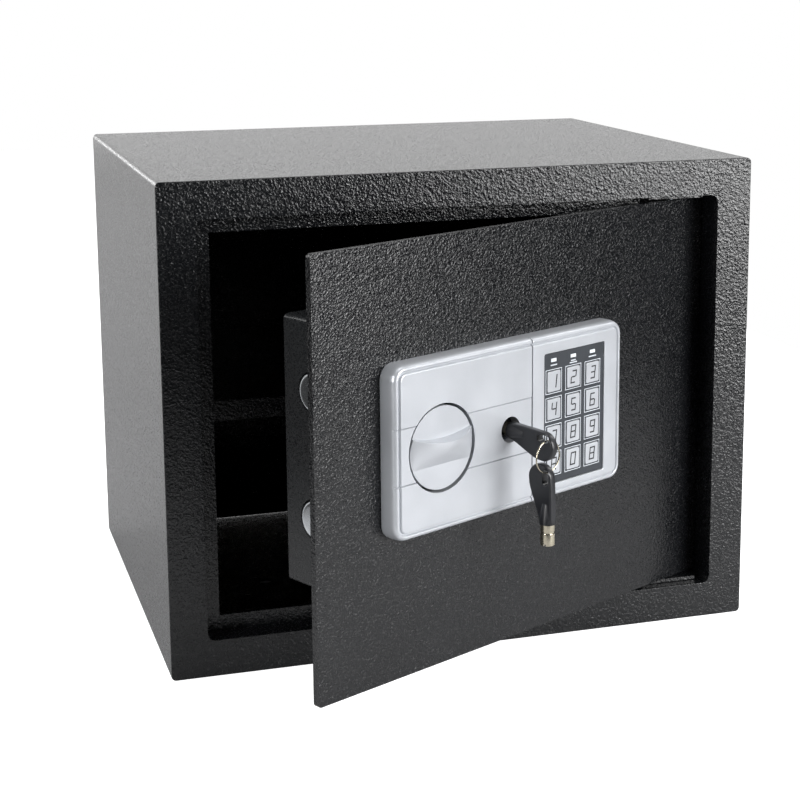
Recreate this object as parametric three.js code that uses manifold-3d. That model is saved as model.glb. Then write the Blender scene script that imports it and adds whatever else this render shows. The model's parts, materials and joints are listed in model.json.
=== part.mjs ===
// A digital safe: a welded steel cabinet with one shelf, and a hinged door that carries a keypad, a knob
// that drives two round bolts, an override key lock and a pair of keys. Millimetres, +Z up. The origin is
// the centre of the cabinet's underside. The door is on the -Y side, hung on the right, and stands ajar.
import * as THREE from "three";
import { mergeVertices } from "three/addons/utils/BufferGeometryUtils.js";
import Module from "manifold-3d";

// --- Driving dimensions -------------------------------------------------------------------------

const WELD_GAP = 0.3; // between neighbours that are welded, pressed or screwed together
const PAST = 1; // how far a cutting shape runs past the faces that it cuts
const SLIVER = 0.01; // straight left between two round ends, so that their points stay apart

const CABINET = { width: 381, depth: 305, height: 305, wall: 2, cornerRadius: 3, rearInset: 1 };
const ANCHOR = { holeDiameter: 10, floorSpacing: 200, rearSpacing: 240, rearHeight: 250 };

const FRAME = {
  border: 23, // face width round the opening
  faceSheet: 2,
  jambSheet: 1.5,
  openingRadius: 5,
  rebateDepth: 15.4, // front plane to the stop flange
  stopWidth: 10,
  pocketWidth: 47.5, // hinge side, where the jambs run deeper and carry no stop
  pocketDepth: 45,
};

const SHELF = {
  topHeight: 152.8,
  sheet: 1.2,
  lipHeight: 13.5,
  frontSetback: 80,
  rearSetback: 4.5,
  sideClearance: 0.5,
};
const RAIL = { leg: 15, sheet: 1.5, endGap: 1.5 };

const DOOR = {
  gap: 3,
  thickness: 4,
  cornerRadius: 2.5,
  setback: 11,
  openAngle: 26.3,
  wireHole: 14,
};
const HINGE = {
  inset: 22, // hinge edge of the door to the pin
  pinDepth: 4.7, // from the knuckle's face on the door to the pin
  pinDiameter: 6,
  pinReach: 19.5,
  pinClearance: 0.3,
  bracketThickness: 2.2,
  bracketInner: 19.5, // reach of the bracket on each side of the pin
  bracketOuter: 18.5,
  bracketFront: 12,
  bracketRear: 24,
  knuckleWidth: 14,
  knuckleDepth: 11.7,
  knuckleHeight: 19.5,
  leafWidth: 35,
  leafSheet: 2,
  doorInset: 0.5, // door edge to the knuckle's end
};

// Every distance along the door is from its free edge; every lock height is from its lower edge.
const LOCK_HEIGHT = 134.3;
const HOUSING = {
  start: 20,
  width: 230,
  below: 77.3,
  above: 77.7,
  depth: 44,
  sheet: 1.2,
  cornerRadius: 3,
};
const BOLT = {
  diameter: 23,
  chamfer: 1.8,
  length: 53,
  halfSpacing: 36.5,
  proud: 1, // how far a drawn-back bolt stands out of the housing
  throw: 22,
  holeClearance: 0.5,
  strikeClearance: 1,
};
const STRIKE = { sheet: 1.5, depth: 38, height: 130 };

const PANEL = {
  start: 47.5,
  width: 190.5,
  below: 49,
  above: 52,
  thickness: 12,
  wall: 2.5,
  cornerRadius: 9,
  edgeRound: 1.6,
  seam: 110.2, // from the panel's start to the seam between its two mouldings
  seamGap: 0.4,
};
const KNOB = {
  along: 84,
  diameter: 48.4,
  gap: 1,
  sunk: 1, // the disc's face below the panel's
  disc: 5,
  gripHeight: 9, // in the middle, fading to nothing at the ends
  gripAbove: 8.8,
  gripBelow: 9.6,
  gripDip: 3.6, // how far the grip's upper edge sags in the middle
  gripRoot: 2, // how far the grip is sunk into the disc
  spindleDiameter: 8,
  spindleRoom: 1.5, // round the spindle, in the door
};
const CRANK = {
  radius: 15.56,
  discRadius: 19,
  disc: 3.5,
  discGap: 0.4, // door to disc, past the weld gap
  pinDiameter: 5,
  pinStandOff: 1.3, // how far the pin comes through the carriage
  slotClearance: 0.8,
  swing: 90,
};
const CARRIAGE = {
  sheet: 3,
  crankGap: 1,
  left: 44,
  right: 116,
  upright: 84, // hinge-side edge of the tall part
  halfHeight: 52,
  crankMargin: 6.6, // plate above the crank slot
};
const STUD = {
  diameter: 6,
  headDiameter: 10,
  head: 2,
  headGap: 0.4,
  slotClearance: 0.3,
  first: 52,
  drop: 31.3,
};
const SOLENOID = {
  along: 108,
  width: 15,
  thickness: 13.4,
  height: 23,
  plungerDiameter: 5,
  plungerClearance: 0.3,
  tipGap: 1, // pulled-in tip to the carriage
  notchDepth: 4.8,
  notchClearance: 1,
  collarDiameter: 9,
  collar: 1.5,
  topRoom: 3, // plunger's end below the coil's top
  stroke: 5.5,
  springLength: 5.4,
  springWire: 0.8,
  springTurns: 4,
  springClearance: 0.35,
};

const KEYPAD = {
  along: 194, // centre of the middle column
  sideMargin: 3.8, // outer keys to the window's sides
  windowShift: 0.8, // window's centre past the middle column, towards the hinge
  below: 40.5,
  above: 40.2,
  recess: 0.8,
  plate: 2.6,
  columnPitch: 17.3,
  rowPitch: 17,
  firstRow: 22.7, // above the lock's height
  keyWidth: 11.4,
  keyHeight: 12.6,
  keyProud: 0.4,
  keyDepth: 3.8,
  keyGap: 0.3,
  travel: 0.8,
  cornerRadius: 1,
  cornerSteps: 2,
};
const LAMP = { width: 5, height: 2.4, above: 35.6, bar: 1.5, gap: 0.2 };
const BOARD = { width: 50, below: 38, above: 38, thickness: 1.6, behindKeys: 1.2 };

const KEY_LOCK = {
  along: 139.4,
  barrelDiameter: 15,
  clearance: 0.3,
  doorClearance: 0.5,
  faceDepth: 6, // panel face to the end of the barrel
  barrelLength: 24,
  plugDiameter: 11.6,
  plugInset: 0.5,
  plugLength: 29,
  keywayDepth: 10,
  postInset: 1,
  nutAcross: 25,
  nutHeight: 4,
  tailReach: 22,
  tailWidth: 8,
  tailSheet: 2,
};
const KEY = {
  bladeDiameter: 8.6,
  bladeBore: 5.4,
  bladeLength: 12.4,
  neckDiameter: 9.6,
  neckStraight: 3,
  neckLength: 14,
  shoulderGap: 0.1, // neck to the panel's face
  headThickness: 5.2,
  headRound: 1.2,
  capRadius: 8.6,
  capAlong: 26.5,
  capAside: 4.67,
  slotAlong: 27.6,
  slotAside: -0.2,
  slotLength: 9.2,
  slotWidth: 4.8,
};
const RING = { radius: 9.2, wire: 1.4, holdAlong: 29.4, holdAside: 1.1, hangAlong: 30.7, hangAside: 0.1 };

const BATTERY = { start: 169, cells: 4, cellDiameter: 14.2, cellLength: 50.5, nub: 1.5, nubDiameter: 5.4 };
const TRAY = {
  wall: 1.5,
  cellGap: 0.4,
  cellFloor: 0.5,
  contactRoom: 6.25,
  endRoom: 0.6,
  headRoom: 4.8,
  rearGap: 0.2,
};
const COVER = { overlap: 4, sheet: 2 };
const RESET = { along: 150, above: 40, diameter: 7, proud: 1.8, depth: 5, clearance: 0.3 };

// --- Places worked out from the dimensions ------------------------------------------------------

const front = -CABINET.depth / 2;
const openingWidth = CABINET.width - 2 * FRAME.border;
const openingTop = CABINET.height - FRAME.border;
const doorWidth = openingWidth - 2 * DOOR.gap;
const doorBottom = FRAME.border + DOOR.gap;
const doorTop = openingTop - DOOR.gap;
const doorFront = front + DOOR.setback;
const hingeX = openingWidth / 2 - DOOR.gap - HINGE.inset;
const lockZ = doorBottom + LOCK_HEIGHT;
const panelFace = -PANEL.thickness;
const behindDoor = DOOR.thickness + WELD_GAP;
const hingeDepth = behindDoor + HINGE.pinDepth;
const hingeY = doorFront + hingeDepth;
const crankFront = behindDoor + CRANK.discGap + WELD_GAP;
const crankRear = crankFront + CRANK.disc;
const carriageFront = crankRear + CARRIAGE.crankGap;
const carriageRear = carriageFront + CARRIAGE.sheet;
const boltDepth = carriageRear + WELD_GAP + BOLT.diameter / 2;
const radians = THREE.MathUtils.degToRad;

// --- Materials ----------------------------------------------------------------------------------

const finish = (color, roughness, metalness) => () =>
  new THREE.MeshStandardMaterial({ color, roughness, metalness });
const blackPowderCoat = finish(0x24262a, 0.55, 0.2);
const zincSteel = finish(0x9aa0a6, 0.4, 1);
const chromedSteel = finish(0xc9ccd0, 0.18, 1);
const nickel = finish(0xb9b4a2, 0.25, 1);
const silverAbs = finish(0xc3c8ce, 0.4, 0.1);
const charcoalFilm = finish(0x3f444c, 0.45, 0);
const blackPlastic = finish(0x1d1e21, 0.45, 0);
const redPlastic = finish(0xb3261e, 0.4, 0);
const clearPlastic = finish(0xdfe4e8, 0.2, 0);
const greenBoard = finish(0x1f5a3a, 0.6, 0);
const copperWinding = finish(0x8a4b2a, 0.5, 0.6);
const cellWrap = finish(0x3a4d8f, 0.35, 0.1);

// --- Solid helpers ------------------------------------------------------------------------------

const wasm = await Module();
wasm.setup();

function solidOf(geometry) {
  const bare = geometry.clone();
  bare.deleteAttribute("normal");
  bare.deleteAttribute("uv");
  const merged = mergeVertices(bare, 1e-4);
  return new wasm.Manifold(
    new wasm.Mesh({
      numProp: 3,
      vertProperties: merged.attributes.position.array,
      triVerts: new Uint32Array(merged.index.array),
    }),
  );
}

function geometryOf(solid) {
  const mesh = solid.getMesh();
  const indexed = new THREE.BufferGeometry();
  indexed.setAttribute("position", new THREE.BufferAttribute(mesh.vertProperties, 3));
  indexed.setIndex(new THREE.BufferAttribute(mesh.triVerts, 1));
  const flat = indexed.toNonIndexed();
  flat.computeVertexNormals();
  return flat;
}

function combine(operation, geometries) {
  const [first, ...others] = geometries.map(solidOf);
  return geometryOf(others.reduce((sum, next) => sum[operation](next), first));
}
const fuse = (...geometries) => combine("add", geometries);
const cut = (...geometries) => combine("subtract", geometries);
const common = (...geometries) => combine("intersect", geometries);

// A box from its lowest corner to its highest.
function block([x0, y0, z0], [x1, y1, z1]) {
  const box = new THREE.BoxGeometry(x1 - x0, y1 - y0, z1 - z0);
  return box.translate((x0 + x1) / 2, (y0 + y1) / 2, (z0 + z1) / 2);
}

// A rod along one axis, centred on [x, y, z] across it and running from `from` to `to` along it.
function rod(axis, diameter, from, to, [x, y, z] = [0, 0, 0], sides = 32) {
  const bar = new THREE.CylinderGeometry(diameter / 2, diameter / 2, to - from, sides);
  bar.translate(0, (from + to) / 2, 0);
  if (axis === "x") bar.rotateZ(-Math.PI / 2);
  if (axis === "z") bar.rotateX(Math.PI / 2);
  return bar.translate(x, y, z);
}

// A turned piece: a half profile of [radius, along] points, run counter-clockwise, spun about its axis.
function turned(profile, sides = 32) {
  return new THREE.LatheGeometry(
    profile.map(([radius, along]) => new THREE.Vector2(radius, along)),
    sides,
  );
}

// A closed rectangle with its own radius at each corner: lower left, lower right, upper right, upper left.
function rectangle(x0, z0, x1, z1, radii = 0) {
  const [a, b, c, d] = Array.isArray(radii) ? radii : [radii, radii, radii, radii];
  const outline = new THREE.Shape();
  outline.moveTo(x0 + a, z0);
  outline.lineTo(x1 - b, z0);
  if (b) outline.absarc(x1 - b, z0 + b, b, -Math.PI / 2, 0);
  outline.lineTo(x1, z1 - c);
  if (c) outline.absarc(x1 - c, z1 - c, c, 0, Math.PI / 2);
  outline.lineTo(x0 + d, z1);
  if (d) outline.absarc(x0 + d, z1 - d, d, Math.PI / 2, Math.PI);
  outline.lineTo(x0, z0 + a);
  if (a) outline.absarc(x0 + a, z0 + a, a, Math.PI, 1.5 * Math.PI);
  return outline;
}

function polygon(points) {
  return new THREE.Shape(points.map(([x, z]) => new THREE.Vector2(x, z)));
}

// A sheet standing in the XZ plane: an outline drawn as (x, z), from y = `from` to y = `to`.
function sheet(outline, from, to, curveSegments = 5) {
  const plate = new THREE.ExtrudeGeometry(outline, {
    depth: to - from,
    bevelEnabled: false,
    curveSegments,
  });
  return plate.rotateX(Math.PI / 2).translate(0, to, 0);
}

// A bar along X with a profile drawn as (y, z), from x = `from` to x = `to`.
function bar(profile, from, to, curveSegments = 5) {
  const length = to - from;
  const solid = new THREE.ExtrudeGeometry(profile, { depth: length, bevelEnabled: false, curveSegments });
  return solid.rotateX(Math.PI / 2).rotateZ(Math.PI / 2).translate(from, 0, 0);
}

function add(parent, name, geometry, material, position = [0, 0, 0]) {
  const mesh = new THREE.Mesh(geometry, material());
  mesh.name = name;
  mesh.position.set(...position);
  parent.add(mesh);
  return mesh;
}

function group(parent, position = [0, 0, 0]) {
  const inner = new THREE.Group();
  inner.position.set(...position);
  parent.add(inner);
  return inner;
}

// --- Cabinet ------------------------------------------------------------------------------------

function cabinetWrap() {
  const half = CABINET.width / 2;
  const start = front + FRAME.faceSheet + WELD_GAP;
  const outer = sheet(rectangle(-half, 0, half, CABINET.height, CABINET.cornerRadius), start, -front);
  const inner = rectangle(
    -half + CABINET.wall,
    CABINET.wall,
    half - CABINET.wall,
    CABINET.height - CABINET.wall,
    CABINET.cornerRadius - CABINET.wall,
  );
  const holes = [-1, 1].map((side) =>
    rod("z", ANCHOR.holeDiameter, -PAST, CABINET.wall + PAST, [(side * ANCHOR.floorSpacing) / 2, 0, 0], 24),
  );
  return cut(outer, sheet(inner, start - PAST, -front + PAST), ...holes);
}

function rearPanel() {
  const inset = CABINET.wall + WELD_GAP;
  const half = CABINET.width / 2 - inset;
  const rear = -front - CABINET.rearInset;
  const plate = sheet(rectangle(-half, inset, half, CABINET.height - inset), rear - CABINET.wall, rear);
  const holes = [-1, 1].map((side) =>
    rod("y", ANCHOR.holeDiameter, rear - CABINET.wall - PAST, rear + PAST, [
      (side * ANCHOR.rearSpacing) / 2,
      0,
      ANCHOR.rearHeight,
    ], 24),
  );
  return cut(plate, ...holes);
}

// The pressed front: a face round the opening, jambs turned back from it, a stop flange turned inwards on
// three sides, and a deeper hinge pocket with no flange on the fourth.
function frontFrame() {
  const halfCabinet = CABINET.width / 2;
  const half = openingWidth / 2;
  const sheetOut = FRAME.jambSheet;
  const stopFront = front + FRAME.rebateDepth;
  const stopRear = stopFront + FRAME.jambSheet;
  const pocketRear = front + FRAME.pocketDepth;
  const pocketStart = half - FRAME.pocketWidth;
  const opening = (from, to) =>
    sheet(rectangle(-half, FRAME.border, half, openingTop, FRAME.openingRadius), from, to);
  const boxed = (to) =>
    sheet(
      rectangle(
        -half - sheetOut,
        FRAME.border - sheetOut,
        half + sheetOut,
        openingTop + sheetOut,
        FRAME.openingRadius + sheetOut,
      ),
      front,
      to,
    );
  const face = sheet(
    rectangle(-halfCabinet, 0, halfCabinet, CABINET.height, CABINET.cornerRadius),
    front,
    front + FRAME.faceSheet,
  );
  const pocket = common(
    boxed(pocketRear),
    block([pocketStart, front, 0], [halfCabinet, pocketRear, CABINET.height]),
  );
  const clearOpening = block(
    [-half + FRAME.stopWidth, front - PAST, FRAME.border + FRAME.stopWidth],
    [pocketStart + PAST, pocketRear, openingTop - FRAME.stopWidth],
  );
  const pocketOpening = common(
    opening(front - PAST, pocketRear + PAST),
    block([pocketStart, front - PAST, 0], [halfCabinet, pocketRear + PAST, CABINET.height]),
  );
  return cut(
    fuse(face, boxed(stopRear), pocket),
    opening(front - PAST, stopFront),
    clearOpening,
    pocketOpening,
  );
}

// The keeper behind the left stop flange: an angle with one hole for each bolt.
function strikePlate() {
  const edge = -openingWidth / 2 + FRAME.stopWidth;
  const start = front + FRAME.rebateDepth + FRAME.jambSheet + WELD_GAP;
  const low = lockZ - STRIKE.height / 2;
  const high = lockZ + STRIKE.height / 2;
  const foot = block([edge - FRAME.stopWidth, start, low], [edge, start + STRIKE.sheet, high]);
  const wall = block([edge - STRIKE.sheet, start, low], [edge, start + STRIKE.depth, high]);
  const holes = [-1, 1].map((side) =>
    rod("x", BOLT.diameter + 2 * BOLT.strikeClearance, edge - STRIKE.sheet - PAST, edge + PAST, [
      0,
      doorFront + boltDepth,
      lockZ + side * BOLT.halfSpacing,
    ]),
  );
  return cut(fuse(foot, wall), ...holes);
}

function shelfTray() {
  const start = front + SHELF.frontSetback;
  const end = -front - SHELF.rearSetback;
  const top = SHELF.topHeight;
  const low = top - SHELF.lipHeight;
  const under = top - SHELF.sheet;
  const half = CABINET.width / 2 - CABINET.wall - SHELF.sideClearance;
  const profile = polygon([
    [start, low],
    [start + SHELF.sheet, low],
    [start + SHELF.sheet, under],
    [end - SHELF.sheet, under],
    [end - SHELF.sheet, low],
    [end, low],
    [end, top],
    [start, top],
  ]);
  return bar(profile, -half, half);
}

function shelfRail(side) {
  const wallX = CABINET.width / 2 - CABINET.wall - WELD_GAP;
  const top = SHELF.topHeight - SHELF.sheet - WELD_GAP;
  const profile = [
    [wallX, top],
    [wallX - RAIL.leg, top],
    [wallX - RAIL.leg, top - RAIL.sheet],
    [wallX - RAIL.sheet, top - RAIL.sheet],
    [wallX - RAIL.sheet, top - RAIL.leg],
    [wallX, top - RAIL.leg],
  ];
  return sheet(
    polygon(profile.map(([x, z]) => [side * x, z])),
    front + SHELF.frontSetback + SHELF.sheet + RAIL.endGap,
    -front - SHELF.rearSetback - SHELF.sheet - RAIL.endGap,
  );
}

// A hinge bracket lies flat on the jamb, above or below the door; `base` is its lower face.
function hingeBracket(base) {
  const top = base + HINGE.bracketThickness;
  const plate = block(
    [hingeX - HINGE.bracketInner, hingeY - HINGE.bracketFront, base],
    [hingeX + HINGE.bracketOuter, hingeY + HINGE.bracketRear, top],
  );
  const hole = rod(
    "z",
    HINGE.pinDiameter + 2 * HINGE.pinClearance,
    base - PAST,
    top + PAST,
    [hingeX, hingeY, 0],
    24,
  );
  return cut(plate, hole);
}

function buildCabinet(root) {
  add(root, "body_shell", cabinetWrap(), blackPowderCoat);
  add(root, "rear_panel", rearPanel(), blackPowderCoat);
  add(root, "front_frame", frontFrame(), blackPowderCoat);
  add(root, "strike_plate", strikePlate(), blackPowderCoat);
  add(root, "shelf", shelfTray(), blackPowderCoat);
  add(root, "shelf_rail_left", shelfRail(-1), blackPowderCoat);
  add(root, "shelf_rail_right", shelfRail(1), blackPowderCoat);
  const lowBracket = FRAME.border + WELD_GAP;
  const highBracket = openingTop - WELD_GAP - HINGE.bracketThickness;
  add(root, "hinge_bracket_bottom", hingeBracket(lowBracket), blackPowderCoat);
  add(root, "hinge_bracket_top", hingeBracket(highBracket), blackPowderCoat);
  const pin = rod("z", HINGE.pinDiameter, 0, HINGE.pinReach + HINGE.bracketThickness, [0, 0, 0], 24);
  add(root, "hinge_pin_bottom", pin, zincSteel, [hingeX, hingeY, lowBracket]);
  add(root, "hinge_pin_top", pin, zincSteel, [hingeX, hingeY, highBracket - HINGE.pinReach]);
}

// --- Door leaf: x runs from the free edge to the hinge edge, y back from the front face ------------

const hingeAlong = doorWidth - HINGE.inset;

function doorPlate() {
  const plate = sheet(
    rectangle(0, doorBottom, doorWidth, doorTop, DOOR.cornerRadius),
    0,
    DOOR.thickness,
  );
  const hole = (diameter, along) => rod("y", diameter, -PAST, DOOR.thickness + PAST, [along, 0, lockZ]);
  return cut(
    plate,
    hole(KNOB.spindleDiameter + 2 * KNOB.spindleRoom, KNOB.along),
    hole(KEY_LOCK.barrelDiameter + 2 * KEY_LOCK.doorClearance, KEY_LOCK.along),
    hole(DOOR.wireHole, KEYPAD.along),
  );
}

// A knuckle block with a welded leaf, bored for the pin; `base` is its lower face.
function hingeKnuckle(base) {
  const top = base + HINGE.knuckleHeight;
  const halfBlock = HINGE.knuckleWidth / 2;
  const knuckle = block(
    [hingeAlong - halfBlock, behindDoor, base],
    [hingeAlong + halfBlock, behindDoor + HINGE.knuckleDepth, top],
  );
  const leaf = block(
    [hingeAlong - HINGE.leafWidth + HINGE.knuckleWidth, behindDoor, base],
    [hingeAlong + HINGE.knuckleWidth, behindDoor + HINGE.leafSheet, top],
  );
  const bore = rod(
    "z",
    HINGE.pinDiameter + 2 * HINGE.pinClearance,
    base - PAST,
    top + PAST,
    [hingeAlong, hingeDepth, 0],
    24,
  );
  return cut(fuse(knuckle, leaf), bore);
}

const cellPitch = BATTERY.cellDiameter + TRAY.cellGap;
const trayWidth = BATTERY.cellLength + 2 * (TRAY.contactRoom + TRAY.wall);
const trayDepth = TRAY.wall + TRAY.cellFloor + BATTERY.cellDiameter + TRAY.headRoom;
const trayEnd = BATTERY.start + trayWidth;
const trayHalf = (BATTERY.cells * cellPitch) / 2 + TRAY.endRoom + TRAY.wall;
const housingRear = behindDoor + HOUSING.depth;

// The folded box that covers the boltwork: open against the door, with a hole for each bolt, a window for
// the battery tray and one for the reset button.
function lockHousing() {
  const end = HOUSING.start + HOUSING.width;
  const low = lockZ - HOUSING.below;
  const high = lockZ + HOUSING.above;
  const wall = HOUSING.sheet;
  const outer = sheet(
    rectangle(HOUSING.start, low, end, high, HOUSING.cornerRadius),
    behindDoor,
    housingRear,
  );
  const inner = sheet(
    rectangle(
      HOUSING.start + wall,
      low + wall,
      end - wall,
      high - wall,
      HOUSING.cornerRadius - wall,
    ),
    behindDoor - PAST,
    housingRear - wall,
  );
  const boltHoles = [-1, 1].map((side) =>
    rod("x", BOLT.diameter + 2 * BOLT.holeClearance, HOUSING.start - PAST, HOUSING.start + wall + PAST, [
      0,
      boltDepth,
      lockZ + side * BOLT.halfSpacing,
    ]),
  );
  const trayWindow = block(
    [BATTERY.start - WELD_GAP, housingRear - wall - PAST, lockZ - trayHalf - WELD_GAP],
    [trayEnd + WELD_GAP, housingRear + PAST, lockZ + trayHalf + WELD_GAP],
  );
  const resetHole = rod(
    "y",
    RESET.diameter + 2 * RESET.clearance,
    housingRear - wall - PAST,
    housingRear + PAST,
    [RESET.along, 0, lockZ + RESET.above],
    24,
  );
  return cut(outer, inner, ...boltHoles, trayWindow, resetHole);
}

// One half of the moulded front panel: a rounded tray open at the back.
function panelHalf(start, end, radii) {
  const low = lockZ - PANEL.below;
  const high = lockZ + PANEL.above;
  const round = PANEL.edgeRound;
  const shrunk = (inset) =>
    rectangle(
      start + inset,
      low + inset,
      end - inset,
      high - inset,
      radii.map((radius) => Math.max(radius - inset, 0)),
    );
  const outer = new THREE.ExtrudeGeometry(
    shrunk(round),
    {
      depth: PANEL.thickness,
      bevelEnabled: true,
      bevelThickness: round,
      bevelSize: round,
      bevelSegments: 2,
      curveSegments: 6,
    },
  );
  outer.rotateX(Math.PI / 2).translate(0, panelFace + round + PANEL.thickness, 0);
  const inner = sheet(shrunk(PANEL.wall), panelFace + PANEL.wall, PAST);
  const behind = block(
    [start - PAST, -WELD_GAP, low - PAST],
    [end + PAST, 2 * PANEL.thickness, high + PAST],
  );
  return { outer, inner, behind };
}

const seamAlong = PANEL.start + PANEL.seam;
const panelEnd = PANEL.start + PANEL.width;

function panelPlate() {
  const corner = PANEL.cornerRadius;
  const { outer, inner, behind } = panelHalf(PANEL.start, seamAlong - PANEL.seamGap / 2, [
    corner,
    0,
    0,
    corner,
  ]);
  const hole = (diameter, along, sides) =>
    rod("y", diameter, panelFace - PAST, 0, [along, 0, lockZ], sides);
  const knobHole = hole(KNOB.diameter + 2 * KNOB.gap, KNOB.along, 64);
  const lockHole = hole(KEY_LOCK.barrelDiameter + 2 * KEY_LOCK.clearance, KEY_LOCK.along, 32);
  return cut(outer, inner, behind, knobHole, lockHole);
}

const windowWidth = 2 * KEYPAD.columnPitch + KEYPAD.keyWidth + 2 * KEYPAD.sideMargin;
const windowLeft = KEYPAD.along + KEYPAD.windowShift - windowWidth / 2;
const windowRight = windowLeft + windowWidth;
const windowLow = lockZ - KEYPAD.below;
const windowHigh = lockZ + KEYPAD.above;
const plateFront = panelFace + KEYPAD.recess;

function keypadBezel() {
  const corner = PANEL.cornerRadius;
  const { outer, inner, behind } = panelHalf(seamAlong + PANEL.seamGap / 2, panelEnd, [
    0,
    corner,
    corner,
    0,
  ]);
  const window = sheet(
    rectangle(windowLeft, windowLow, windowRight, windowHigh, KEYPAD.cornerRadius),
    panelFace - PAST,
    0,
  );
  return cut(outer, inner, behind, window);
}

// The twelve keys, row by row, with the place of each one's centre.
const KEY_NAMES = ["1", "2", "3", "4", "5", "6", "7", "8", "9", "A", "0", "B"];
const keyPlaces = KEY_NAMES.map((label, index) => ({
  label,
  along: KEYPAD.along + ((index % 3) - 1) * KEYPAD.columnPitch,
  height: lockZ + KEYPAD.firstRow - Math.floor(index / 3) * KEYPAD.rowPitch,
}));

const lampPlaces = [-1, 0, 1].map((column) => KEYPAD.along + column * KEYPAD.columnPitch);
const lampZ = lockZ + LAMP.above;

function keyOutline(place, grow) {
  const halfWidth = KEYPAD.keyWidth / 2 + grow;
  const halfHeight = KEYPAD.keyHeight / 2 + grow;
  return rectangle(
    place.along - halfWidth,
    place.height - halfHeight,
    place.along + halfWidth,
    place.height + halfHeight,
    KEYPAD.cornerRadius,
  );
}

function keypadPlate() {
  const gap = WELD_GAP;
  const rear = plateFront + KEYPAD.plate;
  const plate = sheet(
    rectangle(
      windowLeft + gap,
      windowLow + gap,
      windowRight - gap,
      windowHigh - gap,
      KEYPAD.cornerRadius,
    ),
    plateFront,
    rear,
  );
  const keyHoles = keyPlaces.map((place) =>
    sheet(keyOutline(place, KEYPAD.keyGap), plateFront - PAST, rear + PAST, KEYPAD.cornerSteps),
  );
  const lampHoles = lampPlaces.map((along) =>
    block(
      [along - LAMP.width / 2, plateFront - PAST, lampZ - LAMP.height / 2],
      [along + LAMP.width / 2, rear + PAST, lampZ + LAMP.height / 2],
    ),
  );
  return cut(plate, ...keyHoles, ...lampHoles);
}

function keypadKey(place) {
  const start = plateFront - KEYPAD.keyProud;
  return sheet(keyOutline(place, 0), start, start + KEYPAD.keyDepth, KEYPAD.cornerSteps);
}

// One clear strip behind the plate, with a stub through each of the three lamp windows.
function indicatorLens() {
  const gap = LAMP.gap;
  const behind = plateFront + KEYPAD.plate + gap;
  const strip = block(
    [lampPlaces[0] - LAMP.width, behind, lampZ - LAMP.height],
    [lampPlaces[2] + LAMP.width, behind + LAMP.bar, lampZ + LAMP.height / 2],
  );
  const stubs = lampPlaces.map((along) =>
    block(
      [along - LAMP.width / 2 + gap, plateFront, lampZ - LAMP.height / 2 + gap],
      [along + LAMP.width / 2 - gap, behind + LAMP.bar, lampZ + LAMP.height / 2 - gap],
    ),
  );
  return fuse(strip, ...stubs);
}

function circuitBoard() {
  const pressedKeyRear = plateFront - KEYPAD.keyProud + KEYPAD.keyDepth + KEYPAD.travel;
  const start = pressedKeyRear + BOARD.behindKeys;
  return block(
    [KEYPAD.along - BOARD.width / 2, start, lockZ - BOARD.below],
    [KEYPAD.along + BOARD.width / 2, start + BOARD.thickness, lockZ + BOARD.above],
  );
}

// --- Boltwork -----------------------------------------------------------------------------------

const knobFace = panelFace + KNOB.sunk;

// The knob is a disc with a bar across it. The bar's upper edge is scooped for the thumb, its face rolls
// down to meet the disc, and a long arch takes its two ends down to nothing.
function knob() {
  const radius = KNOB.diameter / 2;
  const disc = rod("y", KNOB.diameter, knobFace, knobFace + KNOB.disc, [0, 0, 0], 64);
  const root = KNOB.gripRoot;
  const roll = new THREE.Shape();
  roll.moveTo(root, -KNOB.gripBelow);
  roll.lineTo(root, KNOB.gripAbove + PAST);
  roll.lineTo(-KNOB.gripHeight, KNOB.gripAbove + PAST);
  roll.quadraticCurveTo(-KNOB.gripHeight, -KNOB.gripBelow / 3, 0, -KNOB.gripBelow);
  const wedge = bar(roll, -radius, radius, 10).translate(0, knobFace, 0);
  const archRadius = (radius ** 2 + KNOB.gripHeight ** 2) / (2 * KNOB.gripHeight);
  const archCentre = [0, knobFace - KNOB.gripHeight + archRadius, 0];
  const arch = rod("z", 2 * archRadius, -radius, radius, archCentre, 128);
  const reach = [knobFace - KNOB.gripHeight - PAST, knobFace + root + PAST];
  const within = rod("y", KNOB.diameter, ...reach, [0, 0, 0], 64);
  const scoopRadius = (radius ** 2 + KNOB.gripDip ** 2) / (2 * KNOB.gripDip);
  const scoopCentre = [0, 0, KNOB.gripAbove - KNOB.gripDip + scoopRadius];
  const scoop = rod("y", 2 * scoopRadius, reach[0], knobFace, scoopCentre, 160);
  return fuse(disc, cut(common(wedge, within, arch), scoop));
}

function knobSpindle() {
  const start = knobFace + KNOB.disc + WELD_GAP;
  return rod("y", KNOB.spindleDiameter, start, crankFront - WELD_GAP, [0, 0, 0], 24);
}

// The crank disc behind the door, with the pin that drives the carriage. At rest the pin is half a swing
// past the top, towards the hinge.
function crankDisc() {
  const half = radians(CRANK.swing / 2);
  const disc = rod("y", 2 * CRANK.discRadius, crankFront, crankRear, [0, 0, 0], 48);
  const pin = rod(
    "y",
    CRANK.pinDiameter,
    crankRear - PAST,
    carriageRear + CRANK.pinStandOff,
    [CRANK.radius * Math.sin(half), 0, CRANK.radius * Math.cos(half)],
    20,
  );
  return fuse(disc, pin);
}

const studs = [
  { name: "guide_stud_middle", along: STUD.first, height: lockZ },
  { name: "guide_stud_lower", along: KNOB.along, height: lockZ - STUD.drop },
];
const notchHalf = SOLENOID.plungerDiameter / 2 + SOLENOID.notchClearance;
const shoulderHeight = CRANK.radius + CRANK.pinDiameter / 2 + CARRIAGE.crankMargin;

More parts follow.
